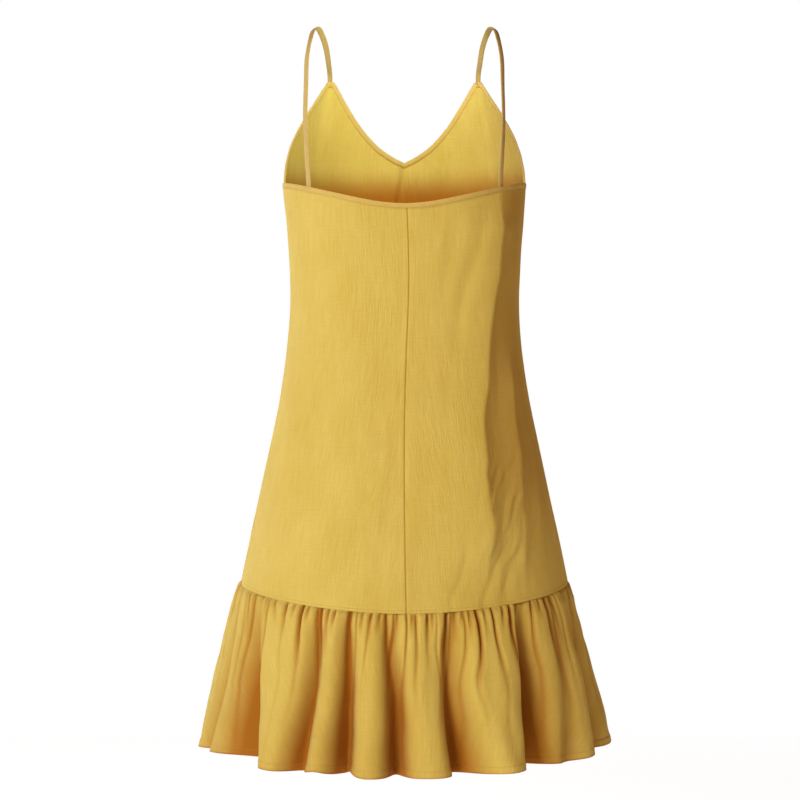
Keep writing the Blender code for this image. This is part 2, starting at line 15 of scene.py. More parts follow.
import bpy
import numpy as np
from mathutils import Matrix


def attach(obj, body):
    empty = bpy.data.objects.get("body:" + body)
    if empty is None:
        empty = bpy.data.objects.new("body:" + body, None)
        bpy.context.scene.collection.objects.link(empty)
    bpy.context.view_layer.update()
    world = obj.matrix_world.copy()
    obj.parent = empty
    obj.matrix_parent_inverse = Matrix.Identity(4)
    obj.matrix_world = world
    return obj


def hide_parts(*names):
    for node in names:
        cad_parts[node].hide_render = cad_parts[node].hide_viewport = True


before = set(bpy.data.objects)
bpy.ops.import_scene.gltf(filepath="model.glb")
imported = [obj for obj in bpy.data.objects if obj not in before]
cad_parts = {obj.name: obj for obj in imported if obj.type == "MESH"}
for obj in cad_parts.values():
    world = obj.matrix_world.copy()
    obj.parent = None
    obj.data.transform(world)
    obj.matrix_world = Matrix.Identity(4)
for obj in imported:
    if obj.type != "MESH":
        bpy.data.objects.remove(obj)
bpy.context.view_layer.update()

Array = np.ndarray
Edge = Callable[[Array], Array]
Colour = tuple[float, float, float, float]
Cells = tuple[float, float, float]
log = logging.getLogger("dress")

# Heights of the main edges, as in the solids
APEX_HEIGHT = -0.0500
NECK_BOTTOM_HEIGHT = -0.1539
UNDERARM_HEIGHT = -0.1910
BACK_NECK_DROP = 0.0320
BACK_NECK_CURVE = 2.0
SEAM_SIDE_HEIGHT = -0.6740
SEAM_BACK_DROP = 0.0270
SEAM_FRONT_DROP = 0.0180
SEAM_CURVE = 1.3
HEM_SIDE_HEIGHT = -0.8720
HEM_MIDDLE_DROP = 0.0140
HEM_CURVE = 1.5
HEM_TILT = 0.0030
APEX_ACROSS = 0.0925
TIP_HEIGHT = -0.0572
BINDING_WIDTH = 0.0056

TINY = 1e-4
HALVINGS = 40
ANGLE_SAMPLES = 721
SIDE_ANGLE = math.pi / 2
TURN = 2 * math.pi
NO_LENGTH = 1e-12
WHITE: Colour = (1.0, 1.0, 1.0, 1.0)
# The angle of the threads of a strip cut on the bias
BIAS = math.pi / 4
# The stretch before the left side seam over which the noise turns into its own start, in radians
JOIN_REACH = 0.5
# The turn, in degrees, from which an edge of a panel and of a tube is sharp
SHARP_CLOTH = 62.0
SHARP_TUBE = 84.0
# The turned hem, from the edge to its stitches
HEM_TURN = 0.0085
# The line stitched over the seam of the tier
SEAM_STITCH_RISE = 0.0039


class Ring(NamedTuple):
    """One level section of the body of the dress."""

    height: float
    half_width: float
    back: float
    front: float
    squareness: float


BODY_RINGS = (
    Ring(-0.060, 0.1280, 0.0900, 0.0975, 2.3),
    Ring(-0.107, 0.1385, 0.0980, 0.1080, 2.3),
    Ring(-0.138, 0.1445, 0.1030, 0.1120, 2.3),
    Ring(-0.170, 0.1473, 0.1060, 0.1170, 2.3),
    Ring(-0.200, 0.1470, 0.1070, 0.1210, 2.35),
    Ring(-0.235, 0.1430, 0.1070, 0.1220, 2.4),
    Ring(-0.284, 0.1396, 0.1040, 0.1160, 2.4),
    Ring(-0.333, 0.1380, 0.1010, 0.1110, 2.4),
    Ring(-0.381, 0.1410, 0.1040, 0.1120, 2.35),
    Ring(-0.455, 0.1513, 0.1180, 0.1210, 2.3),
    Ring(-0.528, 0.1671, 0.1360, 0.1340, 2.25),
    Ring(-0.601, 0.1830, 0.1510, 0.1470, 2.2),
    Ring(-0.674, 0.1985, 0.1630, 0.1580, 2.2),
    Ring(-0.740, 0.2125, 0.1740, 0.1680, 2.2),
)
HEM_RING = Ring(-0.872, 0.2440, 0.2010, 0.1940, 2.1)


class EdgePoint(NamedTuple):
    """A point of a top edge or a crease, seen straight from the front or the back."""

    height: float
    across: float


ARMHOLE_EDGE = (
    EdgePoint(-0.0500, 0.0925),
    EdgePoint(-0.0600, 0.0978),
    EdgePoint(-0.0755, 0.1070),
    EdgePoint(-0.0910, 0.1165),
    EdgePoint(-0.1070, 0.1252),
    EdgePoint(-0.1226, 0.1330),
    EdgePoint(-0.1384, 0.1392),
    EdgePoint(-0.1540, 0.1434),
    EdgePoint(-0.1700, 0.1460),
    EdgePoint(-0.1830, 0.1470),
    EdgePoint(-0.1910, 0.1472),
)

NECK_EDGE = (
    EdgePoint(-0.1539, 0.0000),
    EdgePoint(-0.1500, 0.0085),
    EdgePoint(-0.1457, 0.0158),
    EdgePoint(-0.1383, 0.0266),
    EdgePoint(-0.1236, 0.0417),
    EdgePoint(-0.1088, 0.0543),
    EdgePoint(-0.0944, 0.0648),
    EdgePoint(-0.0803, 0.0741),
    EdgePoint(-0.0662, 0.0825),
    EdgePoint(-0.0500, 0.0925),
)

# The middle seam of the back wanders a little to the right of the middle
BACK_SEAM_PATH = (
    EdgePoint(-0.200, 0.0026),
    EdgePoint(-0.325, 0.0053),
    EdgePoint(-0.400, 0.0025),
    EdgePoint(-0.455, 0.0008),
    EdgePoint(-0.571, 0.0002),
    EdgePoint(-0.694, 0.0020),
)


class HemLift(NamedTuple):
    """A stretch where the hem hangs higher, or lower if its rise is below 0: its middle and its reach
    in degrees, and its rise.
    """

    middle: float
    reach: float
    rise: float


HEM_LIFTS = (
    HemLift(296.0, 14.0, 0.0055),
    HemLift(331.0, 4.0, 0.0045),
    HemLift(342.0, 3.0, 0.0035),
    HemLift(58.0, 9.0, -0.0030),
)


class Side(Enum):
    """The half of the dress that a crease lies on."""

    BACK = 1
    FRONT = -1


@dataclass(frozen=True)
class Crease:
    """A soft ridge of the body, or a trough where its rise is below 0.

    Its path runs from the top down, in pairs of a height and a distance from the middle. Each flank
    has its own width, and it fades out past each end over a share of its length. A crisp one turns
    sharply into its right flank, which can carry painted shade.
    """

    side: Side
    rise: float
    left: float
    right: float
    path: tuple[tuple[float, float], ...]
    fade: float = 0.2
    crisp: bool = False
    shade: float = 0.0


CREASES = (
    Crease(Side.BACK, 0.0122, 0.044, 0.0190,
           ((-0.200, 0.1125), (-0.234, 0.1085), (-0.300, 0.1030), (-0.350, 0.0958), (-0.392, 0.0920),
            (-0.433, 0.0900), (-0.466, 0.0868), (-0.539, 0.0890), (-0.600, 0.0955)), 0.22, True, 0.36),
    Crease(Side.BACK, -0.0021, 0.010, 0.0065,
           ((-0.220, 0.0980), (-0.256, 0.0872), (-0.297, 0.0777), (-0.330, 0.0670), (-0.359, 0.0611)), 0.4),
    Crease(Side.BACK, -0.0009, 0.009, 0.008,
           ((-0.230, 0.0640), (-0.292, 0.0515), (-0.334, 0.0433)), 0.5),
    Crease(Side.BACK, 0.0042, 0.010, 0.0110,
           ((-0.440, 0.1230), (-0.468, 0.1270), (-0.522, 0.1330), (-0.575, 0.1370), (-0.619, 0.1380)),
           0.3, True),
    Crease(Side.BACK, -0.0014, 0.006, 0.010,
           ((-0.470, 0.1400), (-0.522, 0.1440), (-0.575, 0.1470), (-0.625, 0.1480)), 0.5),
    Crease(Side.BACK, -0.0017, 0.005, 0.007,
           ((-0.590, 0.1370), (-0.625, 0.1346), (-0.647, 0.1258), (-0.668, 0.1180)), 0.7),
    Crease(Side.BACK, -0.0014, 0.004, 0.006,
           ((-0.630, 0.1120), (-0.664, 0.0995), (-0.686, 0.0923)), 0.7),
    Crease(Side.BACK, -0.0010, 0.004, 0.005,
           ((-0.640, 0.0700), (-0.668, 0.0621), (-0.684, 0.0540)), 0.8),
    Crease(Side.BACK, -0.0013, 0.007, 0.010,
           ((-0.291, -0.1037), (-0.311, -0.1062), (-0.333, -0.1075), (-0.367, -0.1050)), 0.7),
    Crease(Side.BACK, 0.0009, 0.012, 0.016,
           ((-0.235, -0.1097), (-0.277, -0.0976), (-0.336, -0.0929), (-0.420, -0.0900)), 0.5),
    Crease(Side.BACK, -0.0009, 0.010, 0.012,
           ((-0.519, -0.0097), (-0.571, -0.0189), (-0.617, -0.0258), (-0.657, -0.0304)), 0.6),
    Crease(Side.BACK, -0.0008, 0.010, 0.012,
           ((-0.500, -0.0330), (-0.536, -0.0376), (-0.577, -0.0492), (-0.617, -0.0560)), 0.6),
    Crease(Side.BACK, 0.0014, 0.018, 0.022,
           ((-0.400, -0.1180), (-0.478, -0.1300), (-0.550, -0.1440), (-0.650, -0.1640)), 0.3),
    Crease(Side.FRONT, 0.0070, 0.042, 0.042,
           ((-0.160, 0.060), (-0.210, 0.062), (-0.250, 0.062), (-0.300, 0.058)), 0.6),
    Crease(Side.FRONT, 0.0070, 0.042, 0.042,
           ((-0.160, -0.060), (-0.210, -0.062), (-0.250, -0.062), (-0.300, -0.058)), 0.6),
    Crease(Side.FRONT, -0.0032, 0.010, 0.014,
           ((-0.240, 0.092), (-0.300, 0.082), (-0.370, 0.078), (-0.470, 0.086), (-0.600, 0.100))),
    Crease(Side.FRONT, -0.0030, 0.013, 0.009,
           ((-0.230, -0.096), (-0.300, -0.086), (-0.380, -0.080), (-0.480, -0.087), (-0.620, -0.104))),
    Crease(Side.FRONT, 0.0020, 0.012, 0.020,
           ((-0.300, 0.030), (-0.400, 0.034), (-0.520, 0.044), (-0.650, 0.052))),
    Crease(Side.FRONT, -0.0016, 0.012, 0.009,
           ((-0.330, -0.020), (-0.430, -0.026), (-0.540, -0.040), (-0.630, -0.047)), 0.4),
    Crease(Side.FRONT, -0.0014, 0.005, 0.007,
           ((-0.196, 0.132), (-0.212, 0.112), (-0.228, 0.092), (-0.240, 0.080)), 0.5),
    Crease(Side.FRONT, -0.0014, 0.007, 0.005,
           ((-0.198, -0.133), (-0.214, -0.115), (-0.232, -0.096), (-0.246, -0.084)), 0.5),
    Crease(Side.FRONT, -0.0008, 0.005, 0.006,
           ((-0.146, 0.0230), (-0.152, 0.0300), (-0.158, 0.0380), (-0.163, 0.0460)), 0.8),
    Crease(Side.FRONT, -0.0006, 0.003, 0.003,
           ((-0.066, -0.0900), (-0.074, -0.0890), (-0.082, -0.0885)), 0.8),
    Crease(Side.FRONT, 0.0022, 0.0040, 0.0040,
           ((-0.163, 0.0020), (-0.178, 0.0034), (-0.200, 0.0062), (-0.240, 0.0110)), 0.5),
    Crease(Side.FRONT, 0.0022, 0.0040, 0.0040,
           ((-0.163, -0.0016), (-0.178, -0.0030), (-0.200, -0.0058), (-0.240, -0.0100)), 0.5),
    Crease(Side.FRONT, -0.0014, 0.0045, 0.0045,
           ((-0.172, 0.0080), (-0.190, 0.0125), (-0.215, 0.0190), (-0.250, 0.0260)), 0.6),
    Crease(Side.FRONT, -0.0014, 0.0045, 0.0045,
           ((-0.172, -0.0075), (-0.190, -0.0120), (-0.215, -0.0180), (-0.250, -0.0250)), 0.6),
)


@dataclass(frozen=True)
class Valley:
    """An inward wave of the tier: its places in degrees, and its depth and width at the hem.

    A depth below 0 makes a crest. The lean carries its bottom sideways, so that the crest on that
    side hangs over it. The skew above 0 makes its first flank steeper and its second one gentler.
    """

    seam: float
    middle: float
    hem: float
    depth: float
    half_width: float
    lean: float = 0.0
    skew: float = 0.0


VALLEYS = (
    Valley(18.0, 17.0, 20.2, 0.040, 0.017, -0.005, 0.20),
    Valley(25.5, 28.0, 33.0, -0.008, 0.016),
    Valley(46.0, 46.0, 45.2, 0.068, 0.0145, -0.009, 0.18),
    Valley(60.0, 60.0, 58.0, 0.012, 0.014),
    Valley(72.0, 74.0, 73.0, 0.030, 0.014, -0.004, 0.20),
    Valley(96.0, 97.0, 98.0, 0.024, 0.014),
    Valley(112.0, 115.0, 116.0, 0.040, 0.016, 0.006),
    Valley(128.0, 129.0, 131.0, 0.026, 0.013),
    Valley(146.0, 144.0, 145.0, 0.044, 0.016, -0.006),
    Valley(160.0, 162.0, 161.0, 0.028, 0.013),
    Valley(178.0, 177.0, 179.0, 0.038, 0.016, 0.005),
    Valley(194.0, 196.0, 195.0, 0.028, 0.014),
    Valley(208.0, 209.0, 211.0, 0.044, 0.016, 0.006),
    Valley(226.0, 224.0, 225.0, 0.030, 0.014, -0.004),
    Valley(242.0, 243.0, 244.0, 0.042, 0.016, 0.005),
    Valley(258.0, 260.0, 261.0, 0.022, 0.013),
    Valley(284.0, 283.0, 280.5, 0.020, 0.014),
    Valley(298.5, 301.0, 303.6, 0.052, 0.024, 0.012, -0.25),
    Valley(327.0, 326.0, 323.5, 0.036, 0.014, -0.004),
    Valley(338.0, 339.5, 339.0, 0.044, 0.014, -0.004),
    Valley(353.0, 357.0, 358.0, 0.044, 0.014, -0.004),
)


class Pucker(NamedTuple):
    """A gather that runs down from the seam: degrees where it starts and ends, its length as a share of
    the way down, and its depth.
    """

    start: float
    end: float
    length: float
    depth: float


BACK_PUCKERS = (
    Pucker(-82.0, -80.0, 0.20, 0.0024),
    Pucker(-74.0, -74.0, 0.14, 0.0020),
    Pucker(-66.9, -65.5, 0.26, 0.0028),
    Pucker(-59.1, -56.7, 0.34, 0.0042),
    Pucker(-55.4, -54.8, 0.10, 0.0018),
    Pucker(-51.6, -49.6, 0.13, 0.0022),
    Pucker(-46.6, -46.3, 0.18, 0.0028),
    Pucker(-43.0, -43.0, 0.09, 0.0016),
    Pucker(-40.2, -40.3, 0.30, 0.0036),
    Pucker(-37.5, -37.4, 0.10, 0.0022),
    Pucker(-32.8, -32.2, 0.34, 0.0042),
    Pucker(-29.6, -28.8, 0.26, 0.0026),
    Pucker(-26.9, -27.2, 0.14, 0.0024),
    Pucker(-21.2, -21.6, 0.46, 0.0040),
    Pucker(-16.2, -16.0, 0.12, 0.0024),
    Pucker(-12.8, -12.7, 0.18, 0.0028),
    Pucker(-9.7, -9.6, 0.12, 0.0028),
    Pucker(-7.4, -4.5, 0.38, 0.0034),
    Pucker(-2.8, -3.9, 0.18, 0.0028),
    Pucker(3.0, 2.5, 0.12, 0.0024),
    Pucker(9.1, 8.4, 0.30, 0.0034),
    Pucker(11.0, 10.8, 0.13, 0.0022),
    Pucker(16.6, 14.9, 0.36, 0.0046),
    Pucker(19.8, 19.5, 0.19, 0.0028),
    Pucker(22.5, 21.8, 0.10, 0.0022),
    Pucker(25.2, 24.3, 0.17, 0.0028),
    Pucker(27.5, 28.5, 0.40, 0.0034),
    Pucker(30.6, 30.4, 0.14, 0.0022),
    Pucker(33.7, 33.9, 0.42, 0.0026),
    Pucker(38.1, 37.7, 0.14, 0.0028),
    Pucker(40.9, 39.9, 0.36, 0.0034),
    Pucker(44.6, 42.7, 0.40, 0.0042),
    Pucker(50.6, 50.8, 0.10, 0.0022),
    Pucker(54.0, 54.6, 0.12, 0.0018),
    Pucker(57.5, 59.6, 0.52, 0.0040),
    Pucker(60.8, 61.9, 0.26, 0.0028),
    Pucker(69.0, 71.0, 0.60, 0.0040),
    Pucker(76.0, 77.0, 0.20, 0.0026),
    Pucker(84.0, 84.5, 0.24, 0.0026),
)


class Scatter(NamedTuple):
    """Gathers strewn at even steps: how many, how far each strays as a share of its step, how far it
    leans in degrees, and the least and the most of its length and of its depth.
    """

    count: int
    stray: float
    lean: float
    short: float
    long: float
    shallow: float
    deep: float


FRONT_GATHERS = Scatter(34, 0.34, 2.0, 0.00, 0.15, 0.0020, 0.0042)
FOLDS = Scatter(62, 0.35, 2.5, 0.55, 1.05, 0.0008, 0.0028)
FINE_TUCKS = Scatter(210, 0.40, 0.5, 0.03, 0.10, 0.0003, 0.0011)


class StrapPoint(NamedTuple):
    """A point of the middle line of a strap, from the back up over the shoulder to the front."""

    across: float
    depth: float
    height: float


STRAP_PATH = (
    StrapPoint(0.1162, -0.0765, -0.1620),
    StrapPoint(0.1180, -0.0715, -0.1280),
    StrapPoint(0.1176, -0.0580, -0.0760),
    StrapPoint(0.1168, -0.0440, -0.0410),
    StrapPoint(0.1140, -0.0320, -0.0215),
    StrapPoint(0.1105, -0.0170, -0.0065),
    StrapPoint(0.1057, 0.0000, -0.0012),
    StrapPoint(0.1012, 0.0200, -0.0065),
    StrapPoint(0.0965, 0.0400, -0.0200),
    StrapPoint(0.0942, 0.0575, -0.0355),
)


def smooth_curve(places: Sequence[float], values: Sequence[float], at: Array) -> Array:
    """Reads a smooth curve through the given points.

    Args:
        places: where the points are, rising.
        values: the curve's value at each place.
        at: where to read it.

    Returns:
        The curve's values there.
    """
    places = np.asarray(places, float)
    values = np.asarray(values, float)
    slopes = np.gradient(values, places)
    at = np.clip(at, places[0], places[-1])
    i = np.clip(np.searchsorted(places, at, side="right") - 1, 0, len(places) - 2)
    span = places[i + 1] - places[i]
    t = (at - places[i]) / span
    start = values[i] * (1 + 2 * t) * (1 - t) ** 2 + slopes[i] * span * t * (1 - t) ** 2
    end = values[i + 1] * t**2 * (3 - 2 * t) + slopes[i + 1] * span * t**2 * (t - 1)
    return start + end


def smooth_step(share: Array) -> Array:
    """An even rise from 0 to 1 that starts and ends level."""
    share = np.clip(share, 0, 1)
    return share * share * (3 - 2 * share)


def degrees_off(angle: Array, middle: float | Array) -> Array:
    """How far an angle lies from a middle in degrees, the short way round."""
    return (np.degrees(angle) - middle + 180) % 360 - 180


def back_neck_height(angle: Array) -> Array:
    """The height of the top edge of the back."""
    return UNDERARM_HEIGHT - BACK_NECK_DROP * np.clip(np.cos(angle), 0, 1) ** BACK_NECK_CURVE


def placed(angle: Array, distance: Array, height: Array) -> Array:
    """Points at an angle and a distance from the upright axis."""
    return np.stack([distance * np.sin(angle), -distance * np.cos(angle), height + 0 * angle], axis=-1)


def unit(ways: Array) -> Array:
    """The same ways, each one unit long."""
    return ways / np.maximum(np.linalg.norm(ways, axis=-1, keepdims=True), NO_LENGTH)


def level_out(along: Array) -> Array:
    """Level unit vectors out of the cloth, from the way along it round the dress."""
    return unit(np.stack([along[..., 1], -along[..., 0], 0 * along[..., 0]], axis=-1))


def distance_along(points: Array) -> Array:
    """The distance of each point of a line from its start."""
    return np.concatenate([[0], np.cumsum(np.linalg.norm(np.diff(points, axis=0), axis=1))])


@dataclass(frozen=True)
class Noise:
    """Smooth noise on two coordinates, from -1 to 1, the same on each run."""

    seed: float
    octaves: int = 2

    def corner(self, column: Array, row: Array) -> Array:
        """The value at a corner of the noise's lattice."""
        swing = np.sin(column * 127.1 + row * 311.7 + self.seed * 74.7) * 43758.5453
        return 2 * (swing - np.floor(swing)) - 1

    def at(self, across: Array, along: Array) -> Array:
        """Reads the noise.

        Args:
            across: the first coordinate, in cells.
            along: the second coordinate, in cells.

        Returns:
            The noise there.
        """
        total = 0 * across
        for octave in range(self.octaves):
            u, v = across * 2**octave, along * 2**octave
            column, row = np.floor(u), np.floor(v)
            a, b = smooth_step(u - column), smooth_step(v - row)
            low = self.corner(column, row) * (1 - a) + self.corner(column + 1, row) * a
            high = self.corner(column, row + 1) * (1 - a) + self.corner(column + 1, row + 1) * a
            total = total + (low * (1 - b) + high * b) / 2**octave
        return total

    def around(self, angle: Array, scale: Array | float, along: Array) -> Array:
        """Reads the noise round the dress, so that it meets itself at the left side seam.

        Args:
            angle: the angle round the dress.
            scale: how many cells there are in a radian.
            along: the second coordinate, in cells.

        Returns:
            The noise there.
        """
        last = smooth_step((angle - 3 * SIDE_ANGLE) / JOIN_REACH + 1)
        met = self.at((angle - TURN) * scale, along)
        return self.at(angle * scale, along) * (1 - last) + met * last


@dataclass(frozen=True)
class BodyForm:
    """The shape of the body of the dress, from the bust to the seam of the tier."""

    ripple: float = 0.00022
    ripple_across: float = 0.010
    ripple_along: float = 0.055
    swell: float = 0.0007
    swell_across: float = 0.050
    swell_along: float = 0.110
    crisp_power: float = 1.4
    clear_gap: float = 0.005
    clear_reach: float = 0.050
    rumple: float = 0.0015
    rumple_place: tuple[float, float] = (0.112, -0.605)
    rumple_reach: tuple[float, float] = (0.032, 0.070)
    rumple_cell: tuple[float, float] = (0.008, 0.026)
    rumple_slant: float = 0.5
    rumple_end: float = -0.695
    rumple_ease: float = 0.020
    stray: float = 0.0015
    stray_length: float = 0.034
    # Painted shade on the right of a crisp crease: where it starts, and how it fades low down and round the
    # side
    shade_lead: float = 0.3
    shade_start: float = 0.006
    shade_fade: float = 0.100
    shade_end: float = 0.40
    gathers: int = 5
    gather_spread: float = 0.0052
    gather_fan: tuple[float, float] = (0.55, 0.90)
    gather_ease: float = 1.6
    gather_depth: float = 0.0004
    gather_length: float = 0.0450
    seam_follow: int = 3
    steepest: float = 3.0

    def column(self, name: str, height: Array) -> Array:
        """One column of the rings, read at an array of heights."""
        rows = BODY_RINGS[::-1]
        return smooth_curve([row.height for row in rows], [getattr(row, name) for row in rows], height)

    def ring_radius(self, angle: Array, ring: Ring) -> Array:
        """How far a ring reaches from the upright axis.

        Args:
            angle: the angle round the dress.
            ring: the ring.

        Returns:
            The distance at each angle.
        """
        across = np.abs(np.sin(angle)) / ring.half_width
        along = np.abs(np.cos(angle)) / np.where(np.cos(angle) >= 0, ring.back, ring.front)
        return (across**ring.squareness + along**ring.squareness) ** (-1 / ring.squareness)

    def plain_radius(self, angle: Array, height: Array) -> Array:
        """The radius of the body with no creases."""
        names = ("half_width", "back", "front", "squareness")
        return self.ring_radius(angle, Ring(0.0, *(self.column(name, height) for name in names)))

    def waver(self, crease: Crease, height: Array) -> Array:
        """How far aside a crisp crease strays from its path."""
        return self.stray * crease.crisp * Noise(77.0).at(height / self.stray_length, 0 * height)

    def off_crease(self, crease: Crease, across: Array, height: Array) -> Array:
        """How far to the right of a crease's own line each point lies."""
        heights, places = zip(*crease.path[::-1])
        return across - smooth_curve(heights, places, height) - self.waver(crease, height)

    def crease_rise(self, angle: Array, height: Array, across: Array) -> Array:
        """How far the creases lift the cloth outwards.

        Args:
            angle: the angle round the dress.
            height: the height.
            across: the distance from the middle, seen straight on.

        Returns:
            The rise at each point.
        """
        total = 0 * angle
        for crease in CREASES:
            away = self.off_crease(crease, across, height)
            away = away / np.where(away < 0, crease.left, crease.right)
            high, low = crease.path[0][0], crease.path[-1][0]
            reach = crease.fade * (high - low)
            fade = np.clip((height - low) / reach + 1, 0, 1) * np.clip((high - height) / reach + 1, 0, 1)
            there = np.cos(angle) * crease.side.value > 0
            turned = (away > 0) & crease.crisp
            power = self.crisp_power if crease.crisp else 2.0
            shape = np.where(turned, np.exp(-np.abs(away)), np.exp(-(np.abs(away) ** power)))
            total = total + np.where(there, crease.rise * smooth_step(fade) * shape, 0)
        clear = smooth_step((back_neck_height(angle) - self.clear_gap - height) / self.clear_reach)
        return total * np.where(np.cos(angle) > 0, clear, 1)

    def crease_shade(self, angle: Array, height: Array) -> Array:
        """How deep the painted shade lies on the right of the crisp creases.

        Args:
            angle: the angle round the dress.
            height: the height.

        Returns:
            The shade at each point.
        """
        across = self.plain_radius(angle, height) * np.sin(angle)
        total = 0 * angle
        for crease in (row for row in CREASES if row.shade):
            away = self.off_crease(crease, across, height)
            fade = smooth_step((height - crease.path[-1][0] + self.shade_fade / 4) / self.shade_fade)
            fade = fade * smooth_step(np.cos(angle) * crease.side.value / self.shade_end)
            total = total + crease.shade * smooth_step(away / self.shade_start + self.shade_lead) * fade
        return total

    def gather_rise(self, angle: Array, height: Array, across: Array) -> Array:
        """The small gathers that fan out under the point of the V.

        Args:
            angle: the angle round the dress.
            height: the height.
            across: the distance from the middle, seen straight on.

        Returns:
            How far they lift the cloth outwards.
        """
        below = np.clip((NECK_BOTTOM_HEIGHT - height) / self.gather_length, 0, 1)
        spread = self.gather_spread * (self.gather_fan[0] + self.gather_fan[1] * below)
        within = np.clip(self.gather_ease - np.abs(across) / (spread * self.gathers / 2), 0, 1)
        wave = self.gather_depth * (1 - below) * within * np.cos(TURN * across / spread)
        return np.where(np.cos(angle) < 0, wave, 0)

    def rumple_rise(self, angle: Array, height: Array, across: Array, arc: Array) -> Array:
        """The fine wrinkles low on the right of the back.

        Args:
            angle: the angle round the dress.
            height: the height.
            across: the distance from the middle, seen straight on.
            arc: the distance round the dress from the middle of the back.

        Returns:
            How far they lift the cloth outwards.
        """
        away = ((across - self.rumple_place[0]) / self.rumple_reach[0]) ** 2
        away = away + ((height - self.rumple_place[1]) / self.rumple_reach[1]) ** 2
        near = np.where(np.cos(angle) > 0, np.exp(-away), 0)
        near = near * smooth_step((height - self.rumple_end) / self.rumple_ease)
        column = (arc - self.rumple_slant * height) / self.rumple_cell[0]
        return self.rumple * near * Noise(61.0, 3).at(column, height / self.rumple_cell[1])

    def point(self, angle: Array, height: Array) -> Array:
        """Points of the middle of the body's cloth.

        Args:
            angle: the angle round the dress.
            height: the height.

        Returns:
            The points.
        """
        distance = self.plain_radius(angle, height)
        across = distance * np.sin(angle)
        ripple = Noise(3.0).around(angle, distance / self.ripple_across, height / self.ripple_along)
        swell = Noise(8.0).around(angle, distance / self.swell_across, height / self.swell_along)
        rise = self.crease_rise(angle, height, across) + self.gather_rise(angle, height, across)
        rise = rise + self.ripple * ripple + self.swell * swell
        rise = rise + self.rumple_rise(angle, height, across, distance * angle)
        return placed(angle, distance + rise, height)

    def seam_shift(self, angle: Array, height: Array) -> Array:
        """How far round the back's cloth is carried by its wandering middle seam.

        Args:
            angle: the angle round the dress.
            height: the height.

        Returns:
            The change of the angle at each point.
        """
        rows = BACK_SEAM_PATH[::-1]
        shift = smooth_curve([row.height for row in rows], [row.across for row in rows], height)
        return shift / self.plain_radius(angle, height) * np.clip(np.cos(angle), 0, 1) ** self.seam_follow

    def slant(self, edge: Edge, angle: Array) -> Array:
        """How much longer an upright line across a sloping strip is than the strip's width.

        Args:
            edge: the edge that the strip runs along.
            angle: the angle round the dress.

        Returns:
            How many times as long it is.
        """
        ahead = self.point(angle + TINY, edge(angle + TINY))
        behind = self.point(angle - TINY, edge(angle - TINY))
        run = np.linalg.norm(ahead[..., :2] - behind[..., :2], axis=-1)
        return np.sqrt(1 + np.minimum(np.abs(ahead[..., 2] - behind[..., 2]) / run, self.steepest) ** 2)

    def outward(self, angle: Array, height: Array) -> Array:
        """Level unit vectors that point out of the body."""
        return level_out(self.point(angle + TINY, height) - self.point(angle - TINY, height))


